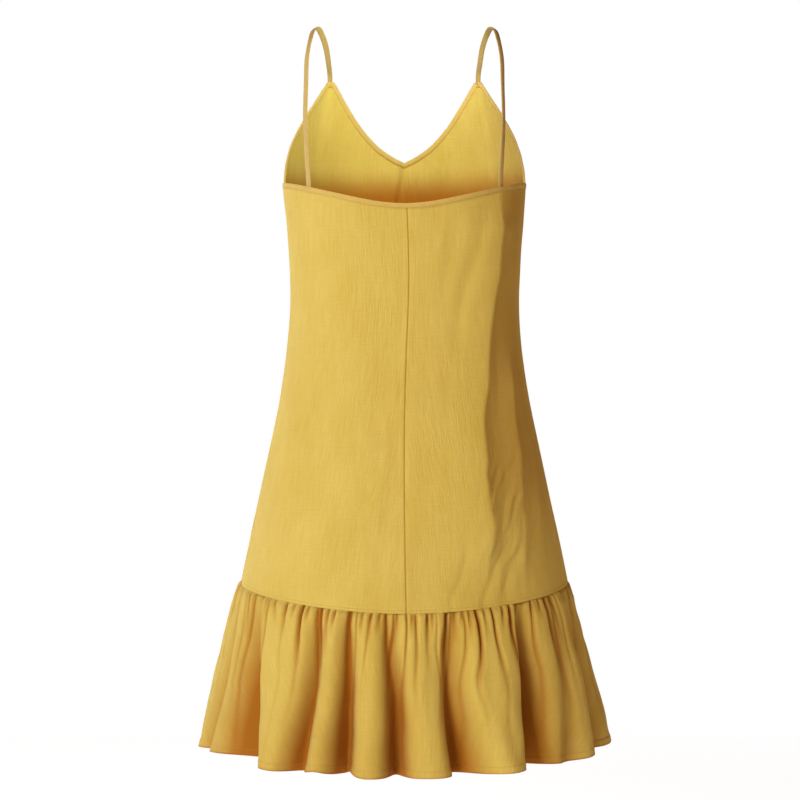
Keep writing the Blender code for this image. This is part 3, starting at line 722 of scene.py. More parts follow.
@dataclass(frozen=True)
class Edges:
    """Where the cut edges of the body and the tier run, as heights at each angle."""

    form: BodyForm

    def seam(self, angle: Array) -> Array:
        """The seam between the body and the tier.

        Args:
            angle: the angle round the dress.

        Returns:
            Its height there.
        """
        back = SEAM_BACK_DROP * np.clip(np.cos(angle), 0, 1) ** SEAM_CURVE
        front = SEAM_FRONT_DROP * np.clip(-np.cos(angle), 0, 1) ** SEAM_CURVE
        return SEAM_SIDE_HEIGHT - back - front

    def hem(self, angle: Array) -> Array:
        """The hem.

        Args:
            angle: the angle round the dress.

        Returns:
            Its height there.
        """
        drop = HEM_MIDDLE_DROP * np.abs(np.cos(angle)) ** HEM_CURVE
        lift = 0 * angle
        for row in HEM_LIFTS:
            lift = lift + row.rise * np.exp(-((degrees_off(angle, row.middle) / row.reach) ** 2))
        return HEM_SIDE_HEIGHT - drop + HEM_TILT * np.sin(angle) + lift

    def back_neck(self, angle: Array) -> Array:
        """The top edge of the back."""
        return back_neck_height(angle)

    def crossing(self, angle: Array, rows: Sequence[EdgePoint], lowest: float, inwards: bool) -> Array:
        """The height at which a sloping edge of the front crosses each angle, found by halving.

        Args:
            angle: angles on the right half of the front.
            rows: the edge's points, from its lower end up.
            lowest: the height of its lower end.
            inwards: whether the edge comes closer to the middle as it rises.

        Returns:
            The heights.
        """
        heights = [row.height for row in rows]
        places = [row.across for row in rows]
        low = np.full(np.shape(angle), lowest)
        high = np.full(np.shape(angle), APEX_HEIGHT)
        for _ in range(HALVINGS):
            middle = (low + high) / 2
            across = np.abs(self.form.plain_radius(angle, middle) * np.sin(angle))
            below = (across < smooth_curve(heights, places, middle)) == inwards
            low = np.where(below, middle, low)
            high = np.where(below, high, middle)
        return (low + high) / 2

    def armhole(self, angle: Array) -> Array:
        """The armhole edge of the front, on both halves."""
        angle = np.where(angle > math.pi, TURN - angle, angle)
        return self.crossing(angle, ARMHOLE_EDGE[::-1], UNDERARM_HEIGHT, True)

    def neck(self, angle: Array) -> Array:
        """The V edge of the front, on both halves."""
        angle = np.where(angle > math.pi, TURN - angle, angle)
        return self.crossing(angle, NECK_EDGE, NECK_BOTTOM_HEIGHT, False)

    def apex(self) -> float:
        """The angle of the strap point on the right of the front.

        Returns:
            The angle.
        """
        angles = np.linspace(math.pi, SIDE_ANGLE, ANGLE_SAMPLES)
        across = self.form.plain_radius(angles, np.full(angles.shape, APEX_HEIGHT)) * np.sin(angles)
        return float(np.interp(APEX_ACROSS, across, angles))

    def under(self, edge: Edge, depth: float) -> Edge:
        """A line that runs a given width below an edge, square to it."""
        return lambda angle: edge(angle) - depth * self.form.slant(edge, angle)

    def capped(self, edge: Edge) -> Edge:
        """An edge cut off level at the tip that the strap stands on."""
        return lambda angle: np.minimum(edge(angle), TIP_HEIGHT)

    def front_top(self, depth: float) -> Edge:
        """The upper edge of the front's cloth, a given width under its V and its armholes.

        Args:
            depth: that width.

        Returns:
            The edge.
        """
        apex = self.apex()

        def height(angle: Array) -> Array:
            """The height of that edge.

            Args:
                angle: the angle round the dress.

            Returns:
                The height there.
            """
            right = np.where(angle > math.pi, TURN - angle, angle)
            neck = self.under(self.neck, depth)(np.maximum(right, apex))
            arm = self.under(self.armhole, depth)(np.minimum(right, apex))
            tip = self.under(self.neck, depth)(np.array([apex]))[0]
            return np.minimum(np.where(right > apex, neck, arm), min(tip, TIP_HEIGHT - depth))

        return height


@dataclass(frozen=True)
class TierForm:
    """The shape of the gathered tier, from its seam to its hem."""

    form: BodyForm
    edges: Edges
    step: float = 0.0024
    step_reach: float = 0.08
    crest_rise: float = 0.0084
    valley_at_seam: float = 0.05
    valley_growth: float = 0.85
    valley_top_width: float = 0.0080
    roundness: float = 0.25
    seam_reach: float = 0.1800
    hem_reach: float = 0.2250
    depth: float = 0.2
    tuck: float = 0.0005
    tuck_reach: float = 0.004 / 3
    puff: float = 0.0020
    puff_start: float = 0.022
    puff_reach: float = 0.10
    pucker_seed: int = 11
    pucker_stretch: float = 80.0
    pucker_depth: float = 1.35
    pucker_length: float = 1.25
    pucker_top: float = 0.0009
    pucker_spread: float = 0.32
    pucker_growth: float = 1.5
    pucker_sight: float = 0.12
    pucker_fade: float = 1.2
    pucker_start: float = 0.45
    pucker_start_reach: float = 0.035
    wander_cells: tuple[float, float] = (4.5, 2.2)
    valley_wander: float = 0.010
    pucker_wander: float = 0.035
    ripple: float = 0.0010
    ripple_cell: tuple[float, float] = (0.013, 0.55)
    ripple_fade: float = 0.6
    swell: float = 0.0030
    swell_cell: tuple[float, float] = (0.045, 0.55)
    swell_start: float = 0.30
    crumple: float = 0.0008
    crumple_cell: tuple[float, float] = (0.028, 0.16)
    crumple_slant: float = 3.0
    crumple_start: float = 0.15
    samples: int = 6000
    even_share: float = 0.8
    # Painted shade: how deep a valley or a gather is when its painted shade is full, and the painted shade at
    # the hem's edge and its reach
    valley_shade: float = 0.026
    pucker_shade: float = 0.0043
    hem_shade: float = 0.7
    hem_shade_reach: float = 0.0012

    def puckers(self) -> list[Pucker]:
        """The gathers of the back, others like them on the front, and folds and fine tucks all round.

        Returns:
            All of them.
        """
        random = np.random.default_rng(self.pucker_seed)
        found = list(BACK_PUCKERS)
        rule = FRONT_GATHERS
        for number in range(rule.count):
            start = 90 + 180 * (number + 0.5 + random.uniform(-rule.stray, rule.stray)) / rule.count
            depth = random.uniform(rule.shallow, rule.deep)
            end = start + random.uniform(-rule.lean, rule.lean)
            length = depth * self.pucker_stretch + random.uniform(rule.short, rule.long)
            found.append(Pucker(start, end, length, depth))
        for rule in (FOLDS, FINE_TUCKS):
            for number in range(rule.count):
                start = 360 * (number + random.uniform(-rule.stray, rule.stray)) / rule.count
                end = start + random.uniform(-rule.lean, rule.lean)
                length = random.uniform(rule.short, rule.long)
                found.append(Pucker(start, end, length, random.uniform(rule.shallow, rule.deep)))
        return found

    def pucker_rise(self, angle: Array, share: Array) -> Array:
        """How far the gathers pull the cloth in.

        Args:
            angle: the angle round the dress.
            share: the share of the way down.

        Returns:
            The rise, which is below 0.
        """
        total = 0 * angle
        angle = self.wandered(angle, share, self.pucker_wander)
        reach = self.seam_reach + (self.hem_reach - self.seam_reach) * share
        for pucker in self.puckers():
            down = np.maximum(share, 0) / (self.pucker_length * pucker.length)
            away = np.radians(degrees_off(angle, pucker.start + (pucker.end - pucker.start) * down))
            near = (np.abs(away) < self.pucker_sight) & (down < 1)
            width = (self.pucker_top + self.pucker_spread * pucker.depth) * (1 + self.pucker_growth * down)
            fade = np.clip(1 - down, 0, 1) ** self.pucker_fade
            fade = fade * np.minimum(self.pucker_start + np.maximum(share, 0) / self.pucker_start_reach, 1)
            depth = self.pucker_depth * pucker.depth * fade * np.exp(-((away * reach / width) ** 2))
            total = total - np.where(near, depth, 0)
        return total

    def wandered(self, angle: Array, share: Array, amount: float) -> Array:
        """The angle that a fold belongs to, so that the folds don't run quite straight."""
        away = Noise(41.0).around(angle, self.wander_cells[0], share * self.wander_cells[1])
        return angle + amount * away * np.clip(share * (1 - share) * 4, 0, 1)

    def valleys(self, angle: Array, share: Array) -> tuple[Array, Array]:
        """The large waves.

        Args:
            angle: the angle round the dress.
            share: the share of the way down.

        Returns:
            How far they lift the cloth outwards, and how far they carry it sideways.
        """
        rise, aside = 0 * angle, 0 * angle
        angle = self.wandered(angle, share, self.valley_wander)
        grown = self.valley_at_seam + (1 - self.valley_at_seam) * np.maximum(share, 0) ** self.valley_growth
        reach = self.seam_reach + (self.hem_reach - self.seam_reach) * share
        for valley in VALLEYS:
            path = smooth_curve([0, 0.5, 1], [valley.seam, valley.middle, valley.hem], share)
            away = degrees_off(angle, path)
            width = self.valley_top_width + (valley.half_width - self.valley_top_width) * share
            width = width * np.where(away < 0, 1 - valley.skew, 1 + valley.skew)
            away = np.radians(away) * reach / width
            wide, narrow = np.exp(-((away / 2) ** 2)), np.exp(-(away**2))
            near = grown * ((1 - self.roundness) * narrow + self.roundness * wide)
            rise = rise - valley.depth * near
            aside = aside + valley.lean * near
        return rise, aside

    def noise(self, noise: Noise, angle: Array, share: Array, cell: tuple[float, float]) -> Array:
        """Noise on the tier, in cells of a width in metres and a share of the way down."""
        return noise.around(angle, self.hem_reach / cell[0], share / cell[1])

    def point(self, angle: Array, share: Array) -> Array:
        """Points of the middle of the tier's cloth.

        Args:
            angle: the angle round the dress.
            share: the share of the way down.

        Returns:
            The points.
        """
        top_height = self.edges.seam(angle)
        top = self.form.plain_radius(angle, top_height)
        hem = self.form.ring_radius(angle, HEM_RING)
        lift = self.step * np.clip(share / self.step_reach, 0, 1) * (1 - share)
        rise, aside = self.valleys(angle, share)
        rise = rise + self.crest_rise * share + self.pucker_rise(angle, share)
        down = np.maximum(share, 0)
        rise = rise + self.puff * smooth_step(down / self.puff_start) * np.exp(-down / self.puff_reach)
        ripple = self.noise(Noise(21.0), angle, share, self.ripple_cell)
        swell = self.noise(Noise(34.0), angle, share, self.swell_cell)
        slid = angle + share * self.crumple_slant * self.crumple_cell[0] / self.hem_reach
        crumple = self.noise(Noise(52.0, 3), slid, share, self.crumple_cell)
        rise = rise + self.ripple * (1 - self.ripple_fade * share) * ripple
        rise = rise + self.swell * smooth_step(share / self.swell_start) * swell
        rise = rise + self.crumple * smooth_step(share / self.crumple_start) * crumple
        tuck = self.tuck * np.exp(-((share * self.depth / self.tuck_reach) ** 2))
        distance = top * (1 - share) + hem * share + lift + rise - tuck
        height = top_height * (1 - share) + self.edges.hem(angle) * share
        points = placed(angle, distance, height)
        points[..., 0] += aside * np.cos(angle)
        points[..., 1] += aside * np.sin(angle)
        return points

    def columns(self, start: float, end: float, count: int) -> Array:
        """Angles between two, chosen so that the cloth between each pair is as wide.

        Args:
            start: the first angle.
            end: the last angle.
            count: how many there are.

        Returns:
            The angles.
        """
        angles = np.linspace(start, end, self.samples)
        points = self.point(angles, np.full(angles.shape, self.even_share))
        length = distance_along(points)
        return np.interp(np.linspace(0, length[-1], count), length, angles)

    def shade(self, angle: Array, share: Array) -> Array:
        """How deep the painted shade lies at each point, from 0 to 1: in the valleys, along the gathers and
        at the hem's edge.

        Args:
            angle: the angle round the dress.
            share: the share of the way down.

        Returns:
            The shade there.
        """
        rise, _ = self.valleys(angle, share)
        deep = np.clip(-rise / self.valley_shade, 0, 1)
        deep = deep + np.clip(-self.pucker_rise(angle, share) / self.pucker_shade, 0, 1)
        edge = self.hem_shade * np.exp(-(((1 - share) * self.depth / self.hem_shade_reach) ** 2))
        return np.clip(deep + edge, 0, 1)


@dataclass(frozen=True)
class Relief:
    """What shows along a sewn edge of a piece: it rolls in, and a line is stitched or pressed."""

    roll: float = 0.0
    reach: float = 0.0016
    line: float = 0.0
    line_depth: float = 0.0
    line_width: float = 0.0009
    band: float = 0.0
    band_rise: float = 0.0
    band_ease: float = 0.0012

    def offset(self, distance: Array) -> Array:
        """How far the cloth lies in from its plain form.

        Args:
            distance: the distance from the sewn edge.

        Returns:
            How far it lies in there.
        """
        inwards = self.roll * np.exp(-((distance / self.reach) ** 2))
        if self.line_depth:
            inwards = inwards + self.line_depth * np.exp(-(((distance - self.line) / self.line_width) ** 2))
        if self.band_rise:
            inwards = inwards - self.band_rise * smooth_step((self.band - distance) / self.band_ease + 0.5)
        return inwards


@dataclass
class Sheet:
    """A stretch of cloth, as a grid of points on its middle surface: rows go up, columns go round."""

    points: Array
    thickness: float
    # Painted shade at each point, on the outer face and, where given, on the inner face
    shade: Array | None = None
    inner_shade: Array | None = None
    seam_reach: float = 0.0009
    binding_reach: float = 0.00126

    def normals(self) -> Array:
        """Unit vectors out of the cloth, away from the wearer.

        Returns:
            One for each point.
        """
        out = unit(np.cross(np.gradient(self.points, axis=1), np.gradient(self.points, axis=0)))
        facing = (out[..., :2] * self.points[..., :2]).sum()
        return out if facing > 0 else -out

    def lengths(self, axis: int) -> Array:
        """The distance along the cloth from the first row or column.

        Args:
            axis: 0 from the first row, 1 from the first column.

        Returns:
            The distance of each point.
        """
        steps = np.linalg.norm(np.diff(self.points, axis=axis), axis=-1)
        start = np.zeros_like(np.take(steps, [0], axis=axis))
        return np.concatenate([start, np.cumsum(steps, axis=axis)], axis=axis)

    def darken(self, low: float, start: float, end: float, top: float, under: float) -> None:
        """Paints shade on the cloth where it turns into a seam, and just under a binding.

        Args:
            low: how deep the shade is along the first row.
            start: how deep it is along the first column.
            end: how deep it is along the last column.
            top: how deep it is under the binding of the last row.
            under: how far below the last row the binding ends.
        """
        up, round_it = self.lengths(0), self.lengths(1)
        shade = low * np.exp(-((up / self.seam_reach) ** 2))
        shade = shade + start * np.exp(-((round_it / self.seam_reach) ** 2))
        shade = shade + end * np.exp(-(((round_it[:, -1:] - round_it) / self.seam_reach) ** 2))
        self.shade = shade + top * np.exp(-(((up[-1:] - up - under) / self.binding_reach) ** 2))

    def relieve(self, low: Relief, start: Relief, end: Relief) -> None:
        """Shapes the cloth along its sewn edges.

        Args:
            low: what shows along the first row.
            start: what shows along the first column.
            end: what shows along the last column.
        """
        up, round_it = self.lengths(0), self.lengths(1)
        inwards = low.offset(up) + start.offset(round_it) + end.offset(round_it[:, -1:] - round_it)
        self.points = self.points - self.normals() * inwards[..., None]

    def grain(self) -> Array:
        """Coordinates along the cloth's threads, in metres.

        Returns:
            A pair for each point.
        """
        across = self.lengths(1)
        across = across - across[:, across.shape[1] // 2][:, None]
        return np.stack([across, self.points[..., 2]], axis=-1)

    def build(self, name: str, finish: "ClothFinish") -> bpy.types.Object:
        """Makes the closed wall of cloth.

        Args:
            name: the piece's name.
            finish: what it is made of.

        Returns:
            The piece.
        """
        out = self.normals() * (self.thickness / 2)
        rows, columns = self.points.shape[:2]
        count = rows * columns
        points = np.concatenate([(self.points + out).reshape(-1, 3), (self.points - out).reshape(-1, 3)])
        index = np.arange(count).reshape(rows, columns)
        corners = (index[:-1, :-1], index[:-1, 1:], index[1:, 1:], index[1:, :-1])
        outer = np.stack(corners, axis=-1).reshape(-1, 4)
        rim = np.concatenate([index[0, :-1], index[:-1, -1], index[-1, :0:-1], index[:0:-1, 0]])
        after = np.roll(rim, -1)
        around = np.stack([rim, rim + count, after + count, after], axis=-1)
        faces = np.concatenate([outer, outer[:, ::-1] + count, around])
        grain = np.tile(self.grain().reshape(-1, 2), (2, 1))
        inner = self.shade if self.inner_shade is None else self.inner_shade
        shade = np.concatenate([self.shade.ravel(), inner.ravel()])
        return new_piece(name, new_mesh(name, points, faces, grain, shade), finish.material())


def new_mesh(name: str, points: Array, faces: Array, grain: Array, shade: Array,
             sharp: float = SHARP_CLOTH) -> bpy.types.Mesh:
    """Makes a mesh of quads that faces outwards, with its threads' coordinates.

    Args:
        name: the mesh's name.
        points: its points.
        faces: four point numbers a face.
        grain: coordinates along the threads, one pair a point.
        shade: how deep the painted shade lies at each point.
        sharp: the turn, in degrees, from which an edge is sharp.

    Returns:
        The mesh.
    """
    a, b, c, d = (points[faces[:, k]] for k in range(4))
    volume = (np.cross(b, c) * a).sum() + (np.cross(c, d) * a).sum()
    if volume < 0:
        faces = faces[:, ::-1]
    mesh = bpy.data.meshes.new(name)
    mesh.from_pydata(points.tolist(), [], faces.tolist())
    layer = mesh.uv_layers.new(name="grain")
    corners = np.zeros(len(mesh.loops), int)
    mesh.loops.foreach_get("vertex_index", corners)
    layer.data.foreach_set("uv", grain[corners].astype(np.float32).ravel())
    attribute = mesh.attributes.new("shade", "FLOAT", "POINT")
    attribute.data.foreach_set("value", shade.astype(np.float32))
    mesh.shade_smooth()
    mesh.set_sharp_from_angle(angle=math.radians(sharp))
    return mesh


def new_piece(name: str, mesh: bpy.types.Mesh, material: bpy.types.Material) -> bpy.types.Object:
    """Puts a mesh in the scene as one named piece of one material.

    Args:
        name: the piece's name.
        mesh: its mesh.
        material: its material.

    Returns:
        The piece.
    """
    mesh.materials.clear()
    mesh.materials.append(material)
    piece = bpy.data.objects.new(name, mesh)
    bpy.context.scene.collection.objects.link(piece)
    return piece


class Wire:
    """An output of a node that can be added, multiplied and so on."""

    def __init__(self, board: "Board", socket: bpy.types.NodeSocket) -> None:
        """Keeps the socket and the tree that it is in."""
        self.board = board
        self.socket = socket

    def maths(self, operation: str, first: object, second: object = 0.0) -> "Wire":
        """One Math node."""
        return self.board.node("ShaderNodeMath", {"operation": operation}, {0: first, 1: second})

    def __add__(self, other: object) -> "Wire":
        """The sum."""
        return self.maths("ADD", self, other)

    def __radd__(self, other: object) -> "Wire":
        """The sum."""
        return self.maths("ADD", other, self)

    def __sub__(self, other: object) -> "Wire":
        """The difference."""
        return self.maths("SUBTRACT", self, other)

    def __rsub__(self, other: object) -> "Wire":
        """The difference from a value."""
        return self.maths("SUBTRACT", other, self)

    def __mul__(self, other: object) -> "Wire":
        """The product."""
        return self.maths("MULTIPLY", self, other)

    def __rmul__(self, other: object) -> "Wire":
        """The product."""
        return self.maths("MULTIPLY", other, self)

    def sine(self) -> "Wire":
        """The sine."""
        return self.maths("SINE", self)

    def clamped(self) -> "Wire":
        """The value, kept from 0 to 1."""
        return self.board.node("ShaderNodeClamp", {}, {"Value": self})


class Board:
    """A tree of nodes: of a material, of the room or of a modifier."""

    def __init__(self, tree: bpy.types.NodeTree) -> None:
        """Keeps the tree."""
        self.tree = tree

    def feed(self, socket: bpy.types.NodeSocket, value: object) -> None:
        """Links a wire to an input, or sets the input's own value.

        Args:
            socket: the input.
            value: the wire or the value.
        """
        if isinstance(value, Wire):
            self.tree.links.new(value.socket, socket)
        else:
            socket.default_value = value

    def add(self, kind: str, settings: dict, values: dict) -> bpy.types.Node:
        """Adds one node.

        Args:
            kind: the node's type.
            settings: its own settings, set first.
            values: the value or wire of each input, by name or number.

        Returns:
            The node.
        """
        made = self.tree.nodes.new(kind)
        for name, setting in settings.items():
            setattr(made, name, setting)
        for key, value in values.items():
            self.feed(made.inputs[key], value)
        return made

    def node(self, kind: str, settings: dict, values: dict, output: int | str = 0) -> Wire:
        """Adds one node and reads one of its outputs."""
        return Wire(self, self.add(kind, settings, values).outputs[output])


class Surface(Board):
    """The shader tree of one material."""

    def __init__(self, name: str) -> None:
        """Starts a material with a Principled shader.

        Args:
            name: the material's name.
        """
        self.material = bpy.data.materials.new(name)
        self.material.use_nodes = True
        super().__init__(self.material.node_tree)

    def noise(self, place: Wire, scale: float, detail: float) -> Wire:
        """Smooth noise from 0 to 1 at a place."""
        return self.node("ShaderNodeTexNoise", {}, {"Vector": place, "Scale": scale, "Detail": detail})

    def mix(self, factor: Wire, first: object, second: object) -> Wire:
        """A mix of two colours."""
        return self.node("ShaderNodeMix", {"data_type": "RGBA"}, {0: factor, 6: first, 7: second}, 2)

    def stretched(self, place: Wire, scales: tuple[float, ...]) -> Wire:
        """A place with its coordinates scaled apart."""
        return self.node("ShaderNodeVectorMath", {"operation": "MULTIPLY"}, {0: place, 1: scales})

    def bump(self, height: Wire, strength: float, distance: float) -> Wire:
        """The normal of a fine relief."""
        return self.node("ShaderNodeBump", {}, {"Height": height, "Strength": strength, "Distance": distance})

    def dress(self, values: dict) -> bpy.types.Material:
        """Feeds the Principled shader.

        Args:
            values: the value or wire of each input, by name.

        Returns:
            The material.
        """
        for name, value in values.items():
            self.feed(self.tree.nodes["Principled BSDF"].inputs[name], value)
        return self.material


class Finish:
    """A finish whose material is made once."""

    name: str

    def material(self) -> bpy.types.Material:
        """The material, made when it is first asked for."""
        return bpy.data.materials.get(self.name) or self.make()

    def make(self) -> bpy.types.Material:
        """Makes the material."""
        raise NotImplementedError


@dataclass(frozen=True)
class ClothFinish(Finish):
    """A matt slubby plain weave, mixed towards a brown painted shade colour where its shade attribute is
    high.
    Its cells are counts a metre, across and along the threads.
    """

    name: str = "woven_cloth"
    light: Colour = (0.767, 0.583, 0.132, 1.0)
    deep: Colour = (0.682, 0.494, 0.087, 1.0)
    painted_shade_colour: Colour = (0.410, 0.130, 0.006, 1.0)
    thread: float = 0.00062
    upright_cells: Cells = (480.0, 32.0, 1.0)
    level_cells: Cells = (48.0, 520.0, 1.0)
    blotch_cells: Cells = (22.0, 12.0, 1.0)
    crepe_cells: Cells = (190.0, 150.0, 1.0)
    tone_weights: tuple[float, float, float] = (1.5, 0.7, 1.4)
    tone_start: float = 1.30
    relief_weights: tuple[float, ...] = (0.22, 0.9, 0.45, 0.7, 0.6)
    shade_strength: float = 0.95
    sheen: float = 0.03
    sheen_roughness: float = 0.42
    roughness: float = 0.77
    slub_roughness: float = 0.10
    specular: float = 0.07
    bump: float = 0.00052

    def make(self) -> bpy.types.Material:
        """Makes the material.

        Returns:
            The material.
        """
        board = Surface(self.name)
        place = board.node("ShaderNodeUVMap", {"uv_map": "grain"}, {})
        across, along = (board.node("ShaderNodeSeparateXYZ", {}, {0: place}, axis) for axis in "XY")
        warp, weft = ((way * (TURN / self.thread)).sine() for way in (across, along))
        upright_slub = board.noise(board.stretched(place, self.upright_cells), 1.0, 3.0)
        level_slub = board.noise(board.stretched(place, self.level_cells), 1.0, 3.0)
        blotch = board.noise(board.stretched(place, self.blotch_cells), 1.0, 3.0)
        crepe = board.noise(board.stretched(place, self.crepe_cells), 1.0, 2.0)
        # How deep the painted shade lies at each point
        shade = board.node("ShaderNodeAttribute", {"attribute_name": "shade"}, {}, "Fac")
        spots = zip((upright_slub, level_slub, blotch), self.tone_weights)
        tone = (sum(spot * weight for spot, weight in spots) - self.tone_start).clamped()
        plain = board.mix(tone, self.light, self.deep)
        bumps = zip((warp * weft, upright_slub, level_slub, crepe, blotch), self.relief_weights)
        relief = sum(rise * weight for rise, weight in bumps)
        return board.dress({
            # The colour turns towards the painted shade colour where the painted shade is deep
            "Base Color": board.mix((shade * self.shade_strength).clamped(), plain, self.painted_shade_colour),
            "Roughness": level_slub * self.slub_roughness + self.roughness,
            "Normal": board.bump(relief, 1.0, self.bump),
            "Sheen Weight": self.sheen,
            "Sheen Roughness": self.sheen_roughness,
            "Specular IOR Level": self.specular,
        })


@dataclass(frozen=True)
class ThreadFinish(Finish):
    """Sewing thread a shade darker than the cloth, with its twist."""

    name: str = "sewing_thread"
    colour: Colour = (0.62, 0.37, 0.070, 1.0)
    dark: Colour = (0.47, 0.26, 0.040, 1.0)
    twist: float = 2400.0
    bump: float = 0.0001
    bump_strength: float = 0.4
    roughness: float = 0.6
    sheen: float = 0.2

    def make(self) -> bpy.types.Material:
        """Makes the material.

        Returns:
            The material.
        """
        board = Surface(self.name)
        twist = board.noise(board.node("ShaderNodeTexCoord", {}, {}, "Object"), self.twist, 1.0)
        return board.dress({
            "Base Color": board.mix(twist, self.colour, self.dark),
            "Normal": board.bump(twist, self.bump_strength, self.bump),
            "Roughness": self.roughness,
            "Sheen Weight": self.sheen,
        })


def ride(piece: bpy.types.Object, slot: str, *nodes: str) -> bpy.types.Object:
    """Fixes a piece to the dress and hides the solids it stands for.

    Args:
        piece: the piece.
        slot: the record's material slot; not used.
        nodes: the solids that it replaces.

    Returns:
        The piece.
    """
    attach(piece, "root")
    if nodes:
        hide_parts(*nodes)
    log.info("%s: %d faces", piece.name, len(piece.data.polygons))
    return piece


def crowded(start: float, end: float, count: int, crowding: float = 0.6) -> Array:
    """Values from a start to an end that stand closer together at both."""
    share = np.linspace(0, 1, count)
    return start + (end - start) * (share - crowding * np.sin(TURN * share) / TURN)


def between(angles: Array, low: Edge, high: Edge, rows: int, edge: float = 0.028,
            part: int = 9) -> tuple[Array, Array]:
    """Grids of angle and height for a piece between two edges, with its rows closer at both.

    Args:
        angles: the angle of each column.
        low: the lower edge.
        high: the upper edge.
        rows: about how many rows there are.
        edge: the share of the height at each edge where they stand closer.
        part: one row in this many stands there.

    Returns:
        The two grids.
    """
    few = rows // part
    inner = np.linspace(edge, 1 - edge, rows - 2 * few + 2)[1:-1]
    share = np.concatenate([np.linspace(0, edge, few), inner, np.linspace(1 - edge, 1, few)])[:, None]
    height = low(angles) * (1 - share) + high(angles) * share
    return np.broadcast_to(angles, height.shape).copy(), height


@dataclass
class Body:
    """The two back panels and the front panel."""

    form: BodyForm
    edges: Edges
    finish: ClothFinish
    thickness: float = 0.0010
    top_in_binding: float = 0.0030
    rows: int = 190
    back_columns: int = 150
    front_columns: int = 211
    low_gap: float = 0.0002
    seam_gap: float = 0.0002
    seam_radius: float = 0.15
    # Painted shade along the seams and just under the bindings
    seam_shade: float = 0.55
    back_binding_shade: float = 0.26
    front_binding_shade: float = 0.75
    low_shade: float = 0.18
    binding_end: float = 0.0031
    # Painted shade on the inside of the front: it deepens below inner_top and eases off below inner_low
    inner_top: float = -0.158
    inner_reach: float = 0.044
    inner_low: float = -0.208
    inner_ease: float = 0.5
    tier_seam: Relief = Relief(roll=0.0003, reach=0.0008, line=SEAM_STITCH_RISE, line_depth=0.00022)
    middle_left: Relief = Relief(roll=0.0008, reach=0.0008, band=0.0055, band_rise=0.00020)
    middle_right: Relief = Relief(roll=0.0008, reach=0.0008, band=0.0070, band_rise=0.00008)
    back_side: Relief = Relief(roll=0.0008, reach=0.0010, band=0.0060, band_rise=0.00012)
    front_side: Relief = Relief(roll=0.0010, reach=0.0012, band=0.0060, band_rise=0.00018)

    def low(self, angle: Array) -> Array:
        """The lower edge of the panels."""
        return self.edges.seam(angle) + self.low_gap

    def back_panel(self, name: str, side: int) -> bpy.types.Object:
        """One half of the back, from the middle seam to the side seam.

        Args:
            name: the piece's name.
            side: 1 on the right, -1 on the left.

        Returns:
            The piece.
        """
        gap = self.seam_gap / self.seam_radius
        angles = side * crowded(gap, SIDE_ANGLE - gap, self.back_columns)
        top = self.edges.under(self.edges.back_neck, self.top_in_binding)
        angle, height = between(angles[::side], self.low, top, self.rows)
        sheet = Sheet(self.form.point(angle + self.form.seam_shift(angle, height), height), self.thickness)
        low, binding = self.low_shade, self.back_binding_shade
        if side > 0:
            sheet.relieve(self.tier_seam, self.middle_right, self.back_side)
            sheet.darken(low, self.seam_shade, low, binding, self.binding_end)
            # Painted shade on the right of the crisp crease
            sheet.shade = np.maximum(sheet.shade, self.form.crease_shade(angle, height))
        else:
            sheet.relieve(self.tier_seam, self.back_side, self.middle_left)
            sheet.darken(low, low, self.seam_shade, binding, self.binding_end)
        return ride(sheet.build("shown_" + name, self.finish), "cloth", name)

    def front_panel(self) -> bpy.types.Object:
        """The front, from side seam to side seam.

        Returns:
            The piece.
        """
        gap = self.seam_gap / self.seam_radius
        apex = self.edges.apex()
        half = np.linspace(SIDE_ANGLE + gap, math.pi, self.front_columns // 2 + 1)
        half[np.argmin(np.abs(half - apex))] = apex
        angles = np.concatenate([half, (TURN - half[:-1])[::-1]])
        angle, height = between(angles, self.low, self.edges.front_top(self.top_in_binding), self.rows)
        sheet = Sheet(self.form.point(angle, height), self.thickness)
        side = self.low_shade
        sheet.darken(self.low_shade, side, side, self.front_binding_shade, self.binding_end)
        # Painted shade on the inside of the front, darker lower down
        depth = smooth_step((self.inner_top - height) / self.inner_reach)
        depth = depth * (1 - self.inner_ease * smooth_step((self.inner_low - height) / self.inner_reach))
        sheet.inner_shade = np.maximum(depth, sheet.shade)
        sheet.relieve(self.tier_seam, self.front_side, self.front_side)
        return ride(sheet.build("shown_front_panel", self.finish), "cloth", "front_panel")

    def build(self) -> dict[str, bpy.types.Object]:
        """Makes all three panels."""
        return {
            "back_right_panel": self.back_panel("back_right_panel", 1),
            "back_left_panel": self.back_panel("back_left_panel", -1),
            "front_panel": self.front_panel(),
        }


